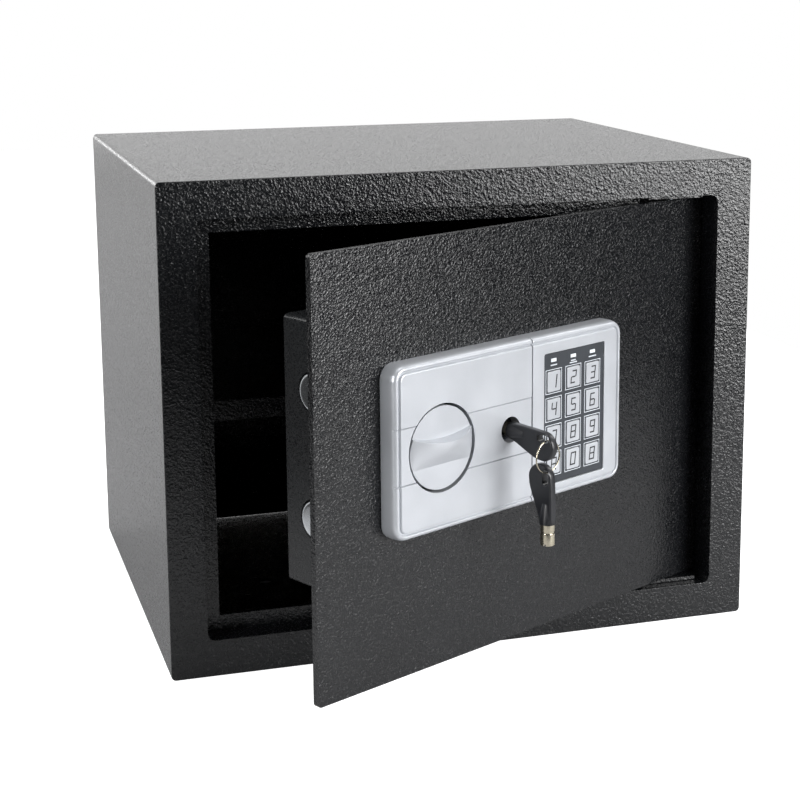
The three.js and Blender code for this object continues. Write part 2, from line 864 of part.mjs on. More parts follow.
function boltCarriage() {
  const low = lockZ - CARRIAGE.halfHeight;
  const high = lockZ + CARRIAGE.halfHeight;
  const shoulder = lockZ + shoulderHeight;
  const notch = shoulder - SOLENOID.notchDepth;
  const outline = polygon([
    [CARRIAGE.left, low],
    [CARRIAGE.right, low],
    [CARRIAGE.right, shoulder],
    [SOLENOID.along + notchHalf, shoulder],
    [SOLENOID.along + notchHalf, notch],
    [SOLENOID.along - notchHalf, notch],
    [SOLENOID.along - notchHalf, shoulder],
    [CARRIAGE.upright, shoulder],
    [CARRIAGE.upright, high],
    [CARRIAGE.left, high],
  ]);
  const slotHalf = STUD.diameter / 2 + STUD.slotClearance;
  for (const stud of studs) {
    outline.holes.push(
      rectangle(
        stud.along - slotHalf,
        stud.height - slotHalf,
        stud.along + BOLT.throw + slotHalf,
        stud.height + slotHalf,
        slotHalf - SLIVER,
      ),
    );
  }
  const half = radians(CRANK.swing / 2);
  const pinAlong = KNOB.along + CRANK.radius * Math.sin(half);
  const slotReach = CRANK.pinDiameter / 2 + CRANK.slotClearance;
  outline.holes.push(
    rectangle(
      pinAlong - slotReach,
      lockZ + CRANK.radius * Math.cos(half) - slotReach,
      pinAlong + slotReach,
      lockZ + CRANK.radius + slotReach,
      CRANK.pinDiameter / 2,
    ),
  );
  return sheet(outline, carriageFront, carriageRear);
}

// A round bolt with a chamfered nose at its -X end.
function lockBolt() {
  const radius = BOLT.diameter / 2;
  const profile = [
    [0, 0],
    [radius - BOLT.chamfer, 0],
    [radius, BOLT.chamfer],
    [radius, BOLT.length],
    [0, BOLT.length],
  ];
  return turned(profile, 48).rotateZ(-Math.PI / 2);
}

function guideStud() {
  const headStart = carriageRear + STUD.headGap;
  return fuse(
    rod("y", STUD.diameter, behindDoor, headStart + STUD.head / 2, [0, 0, 0], 24),
    rod("y", STUD.headDiameter, headStart, headStart + STUD.head, [0, 0, 0], 24),
  );
}

const plungerDepth = carriageFront + CARRIAGE.sheet / 2;
const tipZ = lockZ + shoulderHeight + SOLENOID.tipGap;
const collarZ = tipZ + SOLENOID.stroke;
const springZ = collarZ + SOLENOID.collar + WELD_GAP;
const coilZ = springZ + SOLENOID.springLength + WELD_GAP;

function solenoidCoil() {
  const half = SOLENOID.width / 2;
  const body = block(
    [-half, plungerDepth - SOLENOID.thickness / 2, coilZ],
    [half, plungerDepth + SOLENOID.thickness / 2, coilZ + SOLENOID.height],
  );
  const bore = rod(
    "z",
    SOLENOID.plungerDiameter + 2 * SOLENOID.plungerClearance,
    coilZ - PAST,
    coilZ + SOLENOID.height + PAST,
    [0, plungerDepth, 0],
    24,
  );
  return cut(body, bore);
}

function solenoidPlunger() {
  const radius = SOLENOID.plungerDiameter / 2;
  const collarRadius = SOLENOID.collarDiameter / 2;
  const top = coilZ + SOLENOID.height - SOLENOID.topRoom;
  const profile = [
    [0, tipZ],
    [radius, tipZ],
    [radius, collarZ],
    [collarRadius, collarZ],
    [collarRadius, collarZ + SOLENOID.collar],
    [radius, collarZ + SOLENOID.collar],
    [radius, top],
    [0, top],
  ];
  return turned(profile, 24).rotateX(Math.PI / 2);
}

function plungerSpring() {
  const { springTurns, springWire, springLength, springClearance } = SOLENOID;
  const coilRadius = SOLENOID.plungerDiameter / 2 + springWire / 2 + springClearance;
  const rise = springLength - springWire;
  const stepsPerTurn = 10;
  const points = Array.from({ length: springTurns * stepsPerTurn + 1 }, (_, step) => {
    const angle = (step / stepsPerTurn) * 2 * Math.PI;
    const height = springZ + springWire / 2 + (rise * step) / (springTurns * stepsPerTurn);
    return new THREE.Vector3(coilRadius * Math.cos(angle), coilRadius * Math.sin(angle), height);
  });
  const section = new THREE.Shape().absarc(0, 0, springWire / 2, 0, 2 * Math.PI);
  return new THREE.ExtrudeGeometry(section, {
    steps: springTurns * stepsPerTurn,
    curveSegments: 6,
    bevelEnabled: false,
    extrudePath: new THREE.CatmullRomCurve3(points),
  });
}

// --- Override key lock and keys -----------------------------------------------------------------

const barrelFront = panelFace + KEY_LOCK.faceDepth;
const plugFront = barrelFront + KEY_LOCK.plugInset;
const plugRear = plugFront + KEY_LOCK.plugLength;

// Spun pieces of the lock are drawn with their axis along +Y, from front to rear.
function lockBarrel() {
  const outer = KEY_LOCK.barrelDiameter / 2;
  const inner = KEY_LOCK.plugDiameter / 2 + KEY_LOCK.clearance;
  const rear = barrelFront + KEY_LOCK.barrelLength;
  return turned([
    [inner, barrelFront],
    [outer, barrelFront],
    [outer, rear],
    [inner, rear],
    [inner, barrelFront],
  ]);
}

function lockNut() {
  const start = behindDoor;
  const nut = rod("y", KEY_LOCK.nutAcross, start, start + KEY_LOCK.nutHeight, [0, 0, 0], 6);
  const bore = KEY_LOCK.barrelDiameter + 2 * KEY_LOCK.clearance;
  return cut(nut, rod("y", bore, start - PAST, start + KEY_LOCK.nutHeight + PAST));
}

// The plug has a ring-shaped keyway round a centre post, as tubular keys need.
function lockPlug() {
  const radius = KEY_LOCK.plugDiameter / 2;
  const post = KEY.bladeBore / 2 - KEY_LOCK.clearance;
  const keyway = KEY.bladeDiameter / 2 + KEY_LOCK.clearance;
  const depth = plugFront + KEY_LOCK.keywayDepth;
  const postFront = plugFront + KEY_LOCK.postInset;
  return turned([
    [0, postFront],
    [post, postFront],
    [post, depth],
    [keyway, depth],
    [keyway, plugFront],
    [radius, plugFront],
    [radius, plugRear],
    [0, plugRear],
  ]);
}

function lockTail() {
  const half = KEY_LOCK.tailWidth / 2;
  const outline = rectangle(-half, -KEY_LOCK.tailReach, half, half, half - SLIVER);
  const start = plugRear + WELD_GAP;
  return sheet(outline, start, start + KEY_LOCK.tailSheet);
}

// A key lies along +X: its blade points to -X, and its head bulges to +Y. The shoulder is at x = 0.
function keyBlade() {
  const outer = KEY.bladeDiameter / 2;
  const inner = KEY.bladeBore / 2;
  const profile = [
    [inner, 0],
    [outer, 0],
    [outer, KEY.bladeLength],
    [inner, KEY.bladeLength],
    [inner, 0],
  ];
  return turned(profile).rotateZ(-Math.PI / 2).translate(-KEY.bladeLength - WELD_GAP, 0, 0);
}

function keyHead() {
  const { capAlong, capAside, capRadius } = KEY;
  const neck = KEY.neckDiameter / 2;
  const lean = Math.atan2(capAside, capAlong);
  const startAngle = lean - Math.PI / 2;
  const outline = new THREE.Shape();
  outline.moveTo(0, -neck);
  outline.quadraticCurveTo(
    capAlong / 2,
    -neck,
    capAlong + capRadius * Math.cos(startAngle),
    capAside + capRadius * Math.sin(startAngle),
  );
  outline.absarc(capAlong, capAside, capRadius, startAngle, startAngle + Math.PI);
  outline.bezierCurveTo(capAlong * 0.7, capAside + capRadius, capAlong * 0.3, neck * 1.2, 0, neck);
  const round = KEY.headRound;
  const flat = new THREE.ExtrudeGeometry(outline, {
    depth: KEY.headThickness - 2 * round,
    bevelEnabled: true,
    bevelThickness: round,
    bevelSize: round,
    bevelOffset: -round,
    bevelSegments: 2,
    curveSegments: 8,
  });
  flat.translate(0, 0, round - KEY.headThickness / 2);
  const shoulder = turned([
    [0, 0],
    [neck, 0],
    [neck, KEY.neckStraight],
    [neck * 0.7, KEY.neckLength - 2],
    [0, KEY.neckLength],
  ], 24).rotateZ(-Math.PI / 2);
  const slotEnd = KEY.slotLength / 2 - KEY.slotWidth / 2;
  const slot = [-1, 1].map((end) =>
    rod("z", KEY.slotWidth, -KEY.headThickness, KEY.headThickness, [
      KEY.slotAlong + end * slotEnd,
      KEY.slotAside,
      0,
    ], 20),
  );
  const between = block(
    [KEY.slotAlong - slotEnd, KEY.slotAside - KEY.slotWidth / 2, -KEY.headThickness],
    [KEY.slotAlong + slotEnd, KEY.slotAside + KEY.slotWidth / 2, KEY.headThickness],
  );
  return cut(fuse(flat, shoulder), ...slot, between);
}

// The ring hangs in a plane across both keys' heads: its centre is the origin, its axis is Y.
function keyRing() {
  return new THREE.TorusGeometry(RING.radius, RING.wire / 2, 8, 40).rotateX(Math.PI / 2);
}

// --- Battery compartment and reset button ---------------------------------------------------------

function batteryTray() {
  const start = housingRear - trayDepth;
  const wall = TRAY.wall;
  const outer = block(
    [BATTERY.start, start, lockZ - trayHalf],
    [trayEnd, housingRear - TRAY.rearGap, lockZ + trayHalf],
  );
  const inner = block(
    [BATTERY.start + wall, start + wall, lockZ - trayHalf + wall],
    [trayEnd - wall, housingRear + PAST, lockZ + trayHalf - wall],
  );
  return cut(outer, inner);
}

function batteryCell() {
  const radius = BATTERY.cellDiameter / 2;
  const length = BATTERY.cellLength;
  const shoulder = length - BATTERY.nub;
  const nubRadius = BATTERY.nubDiameter / 2;
  return turned([
    [0, 0],
    [radius, 0],
    [radius, shoulder],
    [nubRadius, shoulder],
    [nubRadius, length],
    [0, length],
  ], 24).rotateZ(-Math.PI / 2);
}

function batteryCover() {
  const lap = COVER.overlap;
  const start = housingRear + WELD_GAP;
  return block(
    [BATTERY.start - lap, start, lockZ - trayHalf - lap],
    [trayEnd + lap, start + COVER.sheet, lockZ + trayHalf + lap],
  );
}

function resetButton() {
  const start = housingRear + RESET.proud - RESET.depth;
  return rod("y", RESET.diameter, start, housingRear + RESET.proud, [0, 0, 0], 24);
}

// --- Assembly -----------------------------------------------------------------------------------

function buildDoor(leaf) {
  add(leaf, "door_plate", doorPlate(), blackPowderCoat);
  const lowKnuckle = doorBottom + HINGE.doorInset;
  const highKnuckle = doorTop - HINGE.doorInset - HINGE.knuckleHeight;
  add(leaf, "hinge_knuckle_bottom", hingeKnuckle(lowKnuckle), blackPowderCoat);
  add(leaf, "hinge_knuckle_top", hingeKnuckle(highKnuckle), blackPowderCoat);
  add(leaf, "lock_housing", lockHousing(), blackPowderCoat);
  add(leaf, "panel_plate", panelPlate(), silverAbs);
  add(leaf, "keypad_bezel", keypadBezel(), silverAbs);
  add(leaf, "keypad_plate", keypadPlate(), charcoalFilm);
  for (const place of keyPlaces) {
    add(leaf, `keypad_key_${place.label}`, keypadKey(place), silverAbs);
  }
  add(leaf, "indicator_lens", indicatorLens(), clearPlastic);
  add(leaf, "circuit_board", circuitBoard(), greenBoard);
  for (const stud of studs) add(leaf, stud.name, guideStud(), zincSteel, [stud.along, 0, stud.height]);
  add(leaf, "solenoid_coil", solenoidCoil(), copperWinding, [SOLENOID.along, 0, 0]);
}

function buildBoltwork(leaf) {
  const knobAxis = group(leaf, [KNOB.along, 0, lockZ]);
  add(knobAxis, "knob", knob(), silverAbs);
  add(knobAxis, "knob_spindle", knobSpindle(), zincSteel);
  add(knobAxis, "crank_disc", crankDisc(), zincSteel);
  add(leaf, "bolt_carriage", boltCarriage(), zincSteel);
  const nose = HOUSING.start - BOLT.proud;
  add(leaf, "bolt_upper", lockBolt(), chromedSteel, [nose, boltDepth, lockZ + BOLT.halfSpacing]);
  add(leaf, "bolt_lower", lockBolt(), chromedSteel, [nose, boltDepth, lockZ - BOLT.halfSpacing]);
  const plungerAxis = group(leaf, [SOLENOID.along, plungerDepth, 0]);
  add(plungerAxis, "solenoid_plunger", solenoidPlunger(), zincSteel);
  add(plungerAxis, "plunger_spring", plungerSpring(), zincSteel);
}

function buildKeyLock(leaf) {
  const lockAxis = group(leaf, [KEY_LOCK.along, 0, lockZ]);
  add(lockAxis, "key_lock_barrel", lockBarrel(), chromedSteel);
  add(lockAxis, "key_lock_nut", lockNut(), zincSteel);
  add(lockAxis, "key_lock_plug", lockPlug(), chromedSteel);
  add(lockAxis, "key_lock_tail", lockTail(), zincSteel);

  // The key in the lock: blade back into the plug, head bulging downwards.
  const keyShoulder = panelFace + KEY.shoulderGap;
  const inserted = group(lockAxis, [0, keyShoulder, 0]);
  inserted.rotation.z = -Math.PI / 2;
  const turnedDown = group(inserted);
  turnedDown.rotation.x = -Math.PI / 2;
  add(turnedDown, "key_blade", keyBlade(), nickel);
  add(turnedDown, "key_head", keyHead(), blackPlastic);

  const ringCentre = [0, keyShoulder - RING.holdAlong, -RING.holdAside - RING.radius];
  add(lockAxis, "key_ring", keyRing(), nickel, ringCentre);

  // The spare key hangs from the foot of the ring, blade down, head bulging towards the door.
  const spare = group(lockAxis, [
    0,
    ringCentre[1] - RING.hangAside,
    ringCentre[2] - RING.radius - RING.hangAlong,
  ]);
  spare.rotation.y = -Math.PI / 2;
  add(spare, "spare_key_blade", keyBlade(), nickel);
  add(spare, "spare_key_head", keyHead(), blackPlastic);
}

function buildBatteries(leaf) {
  add(leaf, "battery_tray", batteryTray(), blackPlastic);
  const cellDepth = housingRear - trayDepth + TRAY.wall + TRAY.cellFloor + BATTERY.cellDiameter / 2;
  const cellStart = BATTERY.start + (trayWidth - BATTERY.cellLength) / 2;
  for (let index = 0; index < BATTERY.cells; index += 1) {
    const height = lockZ + (index - (BATTERY.cells - 1) / 2) * cellPitch;
    add(leaf, `battery_cell_${index + 1}`, batteryCell(), cellWrap, [cellStart, cellDepth, height]);
  }
  add(leaf, "battery_cover", batteryCover(), blackPlastic);
  add(leaf, "reset_button", resetButton(), redPlastic, [RESET.along, 0, lockZ + RESET.above]);
}

const safe = new THREE.Group();
buildCabinet(safe);
const pivot = group(safe, [hingeX, hingeY, 0]);
pivot.rotation.z = radians(DOOR.openAngle);
const leaf = group(pivot, [-hingeAlong, -hingeDepth, 0]);
buildDoor(leaf);
buildBoltwork(leaf);
buildKeyLock(leaf);
buildBatteries(leaf);

export default safe;
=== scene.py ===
"""A digital safe: a powder-coated steel cabinet with one shelf, and a hinged door that stands ajar. The door
carries a silver moulded panel with a knob and a keypad, two round bolts, an override key lock and two keys.
Everything is in metres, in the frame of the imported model. Door pieces are shaped with the door shut, then
swung open with it."""

import json
from math import cos, pi, radians, sin, sqrt

import bmesh
import bpy
from mathutils import Matrix, Vector


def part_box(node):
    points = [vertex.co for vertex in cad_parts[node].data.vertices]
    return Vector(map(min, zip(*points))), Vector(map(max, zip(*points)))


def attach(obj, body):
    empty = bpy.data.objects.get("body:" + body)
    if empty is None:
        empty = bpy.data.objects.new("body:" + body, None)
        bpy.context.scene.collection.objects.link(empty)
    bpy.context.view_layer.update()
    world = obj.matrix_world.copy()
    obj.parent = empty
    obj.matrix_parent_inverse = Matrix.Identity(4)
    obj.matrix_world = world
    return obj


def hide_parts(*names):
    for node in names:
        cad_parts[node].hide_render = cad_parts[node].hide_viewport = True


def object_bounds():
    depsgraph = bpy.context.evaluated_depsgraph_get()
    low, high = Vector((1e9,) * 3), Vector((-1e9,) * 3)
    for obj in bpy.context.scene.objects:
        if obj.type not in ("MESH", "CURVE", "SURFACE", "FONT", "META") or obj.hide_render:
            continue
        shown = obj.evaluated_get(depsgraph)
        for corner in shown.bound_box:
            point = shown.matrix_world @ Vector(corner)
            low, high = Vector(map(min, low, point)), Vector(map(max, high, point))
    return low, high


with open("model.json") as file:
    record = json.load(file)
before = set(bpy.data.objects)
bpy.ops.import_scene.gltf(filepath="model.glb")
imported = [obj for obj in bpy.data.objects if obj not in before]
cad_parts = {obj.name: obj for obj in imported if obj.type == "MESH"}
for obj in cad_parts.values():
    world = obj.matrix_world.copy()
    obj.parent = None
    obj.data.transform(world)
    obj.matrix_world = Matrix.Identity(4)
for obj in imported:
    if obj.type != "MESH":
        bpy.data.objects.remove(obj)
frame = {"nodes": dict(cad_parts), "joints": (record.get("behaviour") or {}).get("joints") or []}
cad_box = [list(corner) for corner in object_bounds()]
MM = 0.001

# --- Camera ---------------------------------------------------------------------------------------
# A long lens on the left of the safe, a little above it, that sees its front and its left side. The frame is
# shifted off the lens's axis.

CAMERA_PLACE = (-0.3385, -1.1720, 0.4312)
CAMERA_HEADING, CAMERA_TILT, CAMERA_ROLL = radians(-17.42), radians(-10.58), radians(-0.28)
SENSOR = 36.0
LENS = 79.95
SHIFT_ACROSS, SHIFT_UP = -0.05, -0.1375

camera = bpy.data.objects.new("camera", bpy.data.cameras.new("camera"))
camera.data.sensor_width = SENSOR
camera.data.lens = LENS
camera.data.shift_x = SHIFT_ACROSS
camera.data.shift_y = SHIFT_UP
camera.matrix_world = (
    Matrix.Translation(CAMERA_PLACE)
    @ Matrix.Rotation(CAMERA_HEADING, 4, "Z")
    @ Matrix.Rotation(pi / 2 + CAMERA_TILT, 4, "X")
    @ Matrix.Rotation(CAMERA_ROLL, 4, "Z")
)
bpy.context.scene.collection.objects.link(camera)
bpy.context.scene.camera = camera

# --- Studio ---------------------------------------------------------------------------------------
# A matt white table, lit to white but for the shade under the safe, in a room that is white behind it. Three
# softboxes hang above. Three stand round it: a strip on the left, a square one behind on the left, and the
# brightest on the right.


def linear(code):
    """A colour written as sRGB hex, in the linear values that shaders take."""
    channels = [int(code[at : at + 2], 16) / 255 for at in (1, 3, 5)]
    return (*[c / 12.92 if c <= 0.04045 else ((c + 0.055) / 1.055) ** 2.4 for c in channels], 1.0)


def node(tree, kind, settings=None, links=None):
    """Adds one shader node. Settings are its own values or its sockets', and links feed its sockets."""
    made = tree.nodes.new("ShaderNode" + kind)
    for name, value in (settings or {}).items():
        if isinstance(name, str) and hasattr(made, name):
            setattr(made, name, value)
        else:
            made.inputs[name].default_value = value
    for name, source in (links or {}).items():
        tree.links.new(source, made.inputs[name])
    return made


def new_material(name):
    """An empty material, its node tree and its Principled shader."""
    material = bpy.data.materials.new(name)
    material.use_nodes = True
    return material, material.node_tree, material.node_tree.nodes["Principled BSDF"]


TABLE_LEFT, TABLE_RIGHT = -0.48, 0.62
TABLE_FRONT, TABLE_BACK = -0.6, 3.0
GLOW_SEEN, GLOW_CAST = 0.95, 0.05

# Matt white laminate with a faint mottle. It glows where the lens sees it, and hardly lights the safe.
table_paint, tree, shader = new_material("white_table_laminate")
coords = node(tree, "TexCoord")
grain = node(tree, "TexNoise", {"Scale": 40.0, "Detail": 3.0}, {"Vector": coords.outputs["Object"]})
tone = node(tree, "ValToRGB", links={"Fac": grain.outputs["Fac"]})
tone.color_ramp.elements[0].color = linear("#b6b6b8")
tone.color_ramp.elements[1].color = linear("#bebebf")
tree.links.new(tone.outputs["Color"], shader.inputs["Base Color"])
shader.inputs["Roughness"].default_value = 0.7
shader.inputs["Emission Color"].default_value = linear("#ffffff")
seen = node(tree, "LightPath")
lift = node(
    tree, "MapRange", {"To Min": GLOW_CAST, "To Max": GLOW_SEEN}, {"Value": seen.outputs["Is Camera Ray"]}
)
# No glow under the safe, so that nothing bright shows through the bores in its floor.
axes = node(tree, "SeparateXYZ", links={0: coords.outputs["Object"]})
across = node(tree, "Math", {"operation": "DIVIDE", 1: cad_box[1][0]}, {0: axes.outputs["X"]})
along = node(tree, "Math", {"operation": "DIVIDE", 1: cad_box[1][1]}, {0: axes.outputs["Y"]})
across = node(tree, "Math", {"operation": "ABSOLUTE"}, {0: across.outputs[0]})
along = node(tree, "Math", {"operation": "ABSOLUTE"}, {0: along.outputs[0]})
beside = node(tree, "Math", {"operation": "MAXIMUM"}, {0: across.outputs[0], 1: along.outputs[0]})
clear = node(tree, "Math", {"operation": "GREATER_THAN", 1: 0.99}, {0: beside.outputs[0]})
lift = node(tree, "Math", {"operation": "MULTIPLY"}, {0: lift.outputs[0], 1: clear.outputs[0]})
tree.links.new(lift.outputs[0], shader.inputs["Emission Strength"])

bm = bmesh.new()
bmesh.ops.create_grid(bm, x_segments=1, y_segments=1, size=0.5)
bmesh.ops.scale(bm, vec=(TABLE_RIGHT - TABLE_LEFT, TABLE_BACK - TABLE_FRONT, 1), verts=bm.verts)
bmesh.ops.translate(
    bm, vec=((TABLE_LEFT + TABLE_RIGHT) / 2, (TABLE_FRONT + TABLE_BACK) / 2, 0), verts=bm.verts
)
table_mesh = bpy.data.meshes.new("table")
bm.to_mesh(table_mesh)
bm.free()
table_mesh.materials.append(table_paint)
table = bpy.data.objects.new("table", table_mesh)
bpy.context.scene.collection.objects.link(table)

# The room is white behind the safe up to head height, and dark overhead and in front, where the camera is.
world = bpy.data.worlds.new("studio")
world.use_nodes = True
bpy.context.scene.world = world
bpy.context.scene.view_settings.view_transform = "Standard"
tree = world.node_tree
heading = node(tree, "SeparateXYZ", links={0: node(tree, "TexCoord").outputs["Generated"]})
depth = node(
    tree,
    "MapRange",
    {"interpolation_type": "SMOOTHSTEP", "From Min": 0.4, "From Max": 0.85, "To Min": 0.03, "To Max": 1.0},
    {"Value": heading.outputs["Y"]},
)
above = node(
    tree,
    "MapRange",
    {"interpolation_type": "SMOOTHSTEP", "From Min": 0.3, "From Max": 0.62, "To Min": 1.06, "To Max": 0.12},
    {"Value": heading.outputs["Z"]},
)
glow = node(tree, "Math", {"operation": "MULTIPLY"}, {0: depth.outputs[0], 1: above.outputs[0]})
room = tree.nodes["Background"]
room.inputs["Color"].default_value = linear("#ffffff")
tree.links.new(glow.outputs[0], room.inputs["Strength"])
backdrop = node(tree, "Background", {"Color": linear("#ffffff"), "Strength": 1.0})
seen = node(tree, "LightPath")
mixed = node(
    tree,
    "MixShader",
    links={0: seen.outputs["Is Camera Ray"], 1: room.outputs[0], 2: backdrop.outputs[0]},
)
tree.links.new(mixed.outputs[0], tree.nodes["World Output"].inputs["Surface"])

SAFE_MIDDLE = Vector((0.0, -0.05, 0.15))
SOFTBOXES = {
    # name: place, width, height, watts
    "softbox_over": ((0.0, 0.0, 1.9), 1.5, 1.5, 20.0),
    "softbox_high_left": ((-1.7, 0.2, 1.35), 0.9, 0.9, 15.0),
    "softbox_high_right": ((1.7, 0.4, 1.35), 0.9, 0.9, 15.0),
    "softbox_left": ((-1.6, -1.0, 0.6), 0.22, 1.1, 18.0),
    "softbox_behind": ((-1.2, 2.2, 0.85), 0.9, 0.8, 18.0),
    "softbox_right": ((1.2, -1.56, 0.63), 1.1, 1.25, 64.0),
}
for name, (place, width, height, watts) in SOFTBOXES.items():
    light = bpy.data.lights.new(name, "AREA")
    light.shape = "RECTANGLE"
    light.size = width
    light.size_y = height
    light.energy = watts
    lamp = bpy.data.objects.new(name, light)
    lamp.location = place
    lamp.rotation_euler = (SAFE_MIDDLE - lamp.location).to_track_quat("-Z", "Y").to_euler()
    bpy.context.scene.collection.objects.link(lamp)

# --- Cabinet shell and front frame ----------------------------------------------------------------
# A wrap of 2 mm steel sheet and a pressed front frame, welded together and ground flush, then sprayed with
# black hammertone powder, which melts into a hard skin of glossy pebbles 1 to 2 mm across.

MERGE = 0.002 * MM
FLAT = radians(0.2)
POOLING = 55
VALLEY_DULLING = 0.22


def powder_coat(name, pebble, relief, roughness, tint):
    """Black thermoset powder coat, with pebbles of the given size and relief in mm. Their tops are glossy and
    the valleys between them duller, and the tone drifts where the powder has pooled."""
    material, tree, shader = new_material(name)
    coords = node(tree, "TexCoord")
    pebbles = node(
        tree,
        "TexNoise",
        {"Scale": 1000 / pebble, "Detail": 1.5, "Roughness": 0.45, "Distortion": 0.6},
        {"Vector": coords.outputs["Object"]},
    )
    skin = node(
        tree,
        "TexVoronoi",
        {"feature": "SMOOTH_F1", "Scale": 1000 / (1.7 * pebble), "Smoothness": 0.7},
        {"Vector": coords.outputs["Object"]},
    )
    height = node(
        tree,
        "Math",
        {"operation": "MULTIPLY_ADD", 1: -0.55},
        {0: skin.outputs["Distance"], 2: pebbles.outputs["Fac"]},
    )
    bump = node(
        tree,
        "Bump",
        {"Strength": 1.0, "Distance": relief * MM},
        {"Height": height.outputs[0]},
    )
    film = node(
        tree,
        "TexNoise",
        {"Scale": 1000 / POOLING, "Detail": 4.0},
        {"Vector": coords.outputs["Object"]},
    )
    shade = node(tree, "ValToRGB", links={"Fac": film.outputs["Fac"]})
    shade.color_ramp.elements[0].position = 0.35
    shade.color_ramp.elements[0].color = linear(tint[0])
    shade.color_ramp.elements[1].position = 0.7
    shade.color_ramp.elements[1].color = linear(tint[1])
    gloss = node(
        tree,
        "MapRange",
        {"From Min": 0.35, "From Max": 0.65, "To Min": roughness + VALLEY_DULLING, "To Max": roughness},
        {"Value": pebbles.outputs["Fac"]},
    )
    tree.links.new(shade.outputs["Color"], shader.inputs["Base Color"])
    tree.links.new(gloss.outputs[0], shader.inputs["Roughness"])
    tree.links.new(bump.outputs["Normal"], shader.inputs["Normal"])
    return material


hammertone = powder_coat("black_hammertone_powder_coat", 1.15, 0.3, 0.1, ("#0a0b0d", "#0e0f11"))


def loose_copy(name, turn=None):
    """A bmesh of a CAD node with its doubles merged and its flat faces whole, turned by a matrix."""
    bm = bmesh.new()
    bm.from_mesh(frame["nodes"][name].data)
    bmesh.ops.remove_doubles(bm, verts=bm.verts, dist=MERGE)
    bmesh.ops.dissolve_limit(bm, angle_limit=FLAT, verts=bm.verts, edges=bm.edges)
    if turn:
        bmesh.ops.transform(bm, matrix=turn, verts=bm.verts)
    return bm


def round_edges(bm, radius, segments=3, where=None, angle=40):
    """Rounds the sharp edges whose two ends pass the test, by a radius in mm."""
    edges = [
        edge
        for edge in bm.edges
        if len(edge.link_faces) == 2
        and edge.calc_face_angle(0) > radians(angle)
        and (where is None or all(where(vert.co) for vert in edge.verts))
    ]
    bmesh.ops.bevel(
        bm,
        geom=edges,
        offset=radius * MM,
        offset_type="OFFSET",
        affect="EDGES",
        segments=segments,
        profile=0.5,
        material=-1,
        clamp_overlap=True,
    )


def finish_piece(bm, name, material, body, stands_for=(), turn=None, crease=38):
    """Makes the bmesh an object with smooth faces and creases, riding on a body of the frame."""
    if turn:
        bmesh.ops.transform(bm, matrix=turn, verts=bm.verts)
    bmesh.ops.remove_doubles(bm, verts=bm.verts, dist=MERGE)
    bmesh.ops.recalc_face_normals(bm, faces=bm.faces)
    mesh = bpy.data.meshes.new(name)
    bm.to_mesh(mesh)
    bm.free()
    mesh.shade_smooth()
    mesh.set_sharp_from_angle(angle=radians(crease))
    mesh.materials.append(material)
    piece = bpy.data.objects.new(name, mesh)
    bpy.context.scene.collection.objects.link(piece)
    flats = piece.modifiers.new("flats_stay_flat", "WEIGHTED_NORMAL")
    flats.keep_sharp = True
    flats.weight = 100
    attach(piece, body)
    if stands_for:
        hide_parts(*stands_for)
    return piece


shell_front, shell_back = [corner.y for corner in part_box("body_shell")]
frame_low, frame_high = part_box("front_frame")
TOUCH = 0.1 * MM
SHEET_JOINT = 2 * MM
RIM_WIDTH = 4 * MM
WRAP_EDGE, OUTER_EDGE, INNER_EDGE = 1.2, 1.9, 1.2

bm = loose_copy("body_shell")
for vert in bm.verts:
    if vert.co.y < shell_front + TOUCH:
        vert.co.y = frame_low.y + SHEET_JOINT
round_edges(bm, WRAP_EDGE, where=lambda co: co.y > shell_back - TOUCH)
finish_piece(bm, "cabinet_shell", hammertone, "cabinet", ["body_shell"])


def on_front(co):
    """Whether a point lies on the frame's front face."""
    return co.y < frame_low.y + TOUCH


def outer_rim(co):
    """Whether a point lies near the frame's outer edge, and not near its opening."""
    inwards = (co.x - frame_low.x, frame_high.x - co.x, co.z - frame_low.z, frame_high.z - co.z)
    return min(inwards) < RIM_WIDTH


bm = loose_copy("front_frame")
round_edges(bm, OUTER_EDGE, 5, where=lambda co: on_front(co) and outer_rim(co))
round_edges(bm, INNER_EDGE, 4, where=lambda co: on_front(co) and not outer_rim(co))
finish_piece(bm, "front_frame_pressing", hammertone, "cabinet", ["front_frame"])

# --- Shelf, rails, rear panel, strike and hinge brackets ------------------------------------------
# Folded and cropped sheet steel in the same powder, which breaks over every edge in a soft bead. The rails
# and the strike are spot-welded inside, and the shelf lies loose on its rails.

# Each piece, and the radius of its edges in mm.
for name, edge in {
    "shelf": 0.45,
    "shelf_rail_left": 0.5,
    "shelf_rail_right": 0.5,
    "rear_panel": 0.6,
    "strike_plate": 0.5,
    "hinge_bracket_top": 0.6,
    "hinge_bracket_bottom": 0.6,
}.items():
    bm = loose_copy(name)
    round_edges(bm, edge)
    finish_piece(bm, name + "_coated", hammertone, "cabinet", [name])

# --- Hinge pins -----------------------------------------------------------------------------------
# Two turned steel pins with their edges eased, pressed into the brackets. They are plated in bright zinc, and
# so greyer than chrome and faintly clouded.


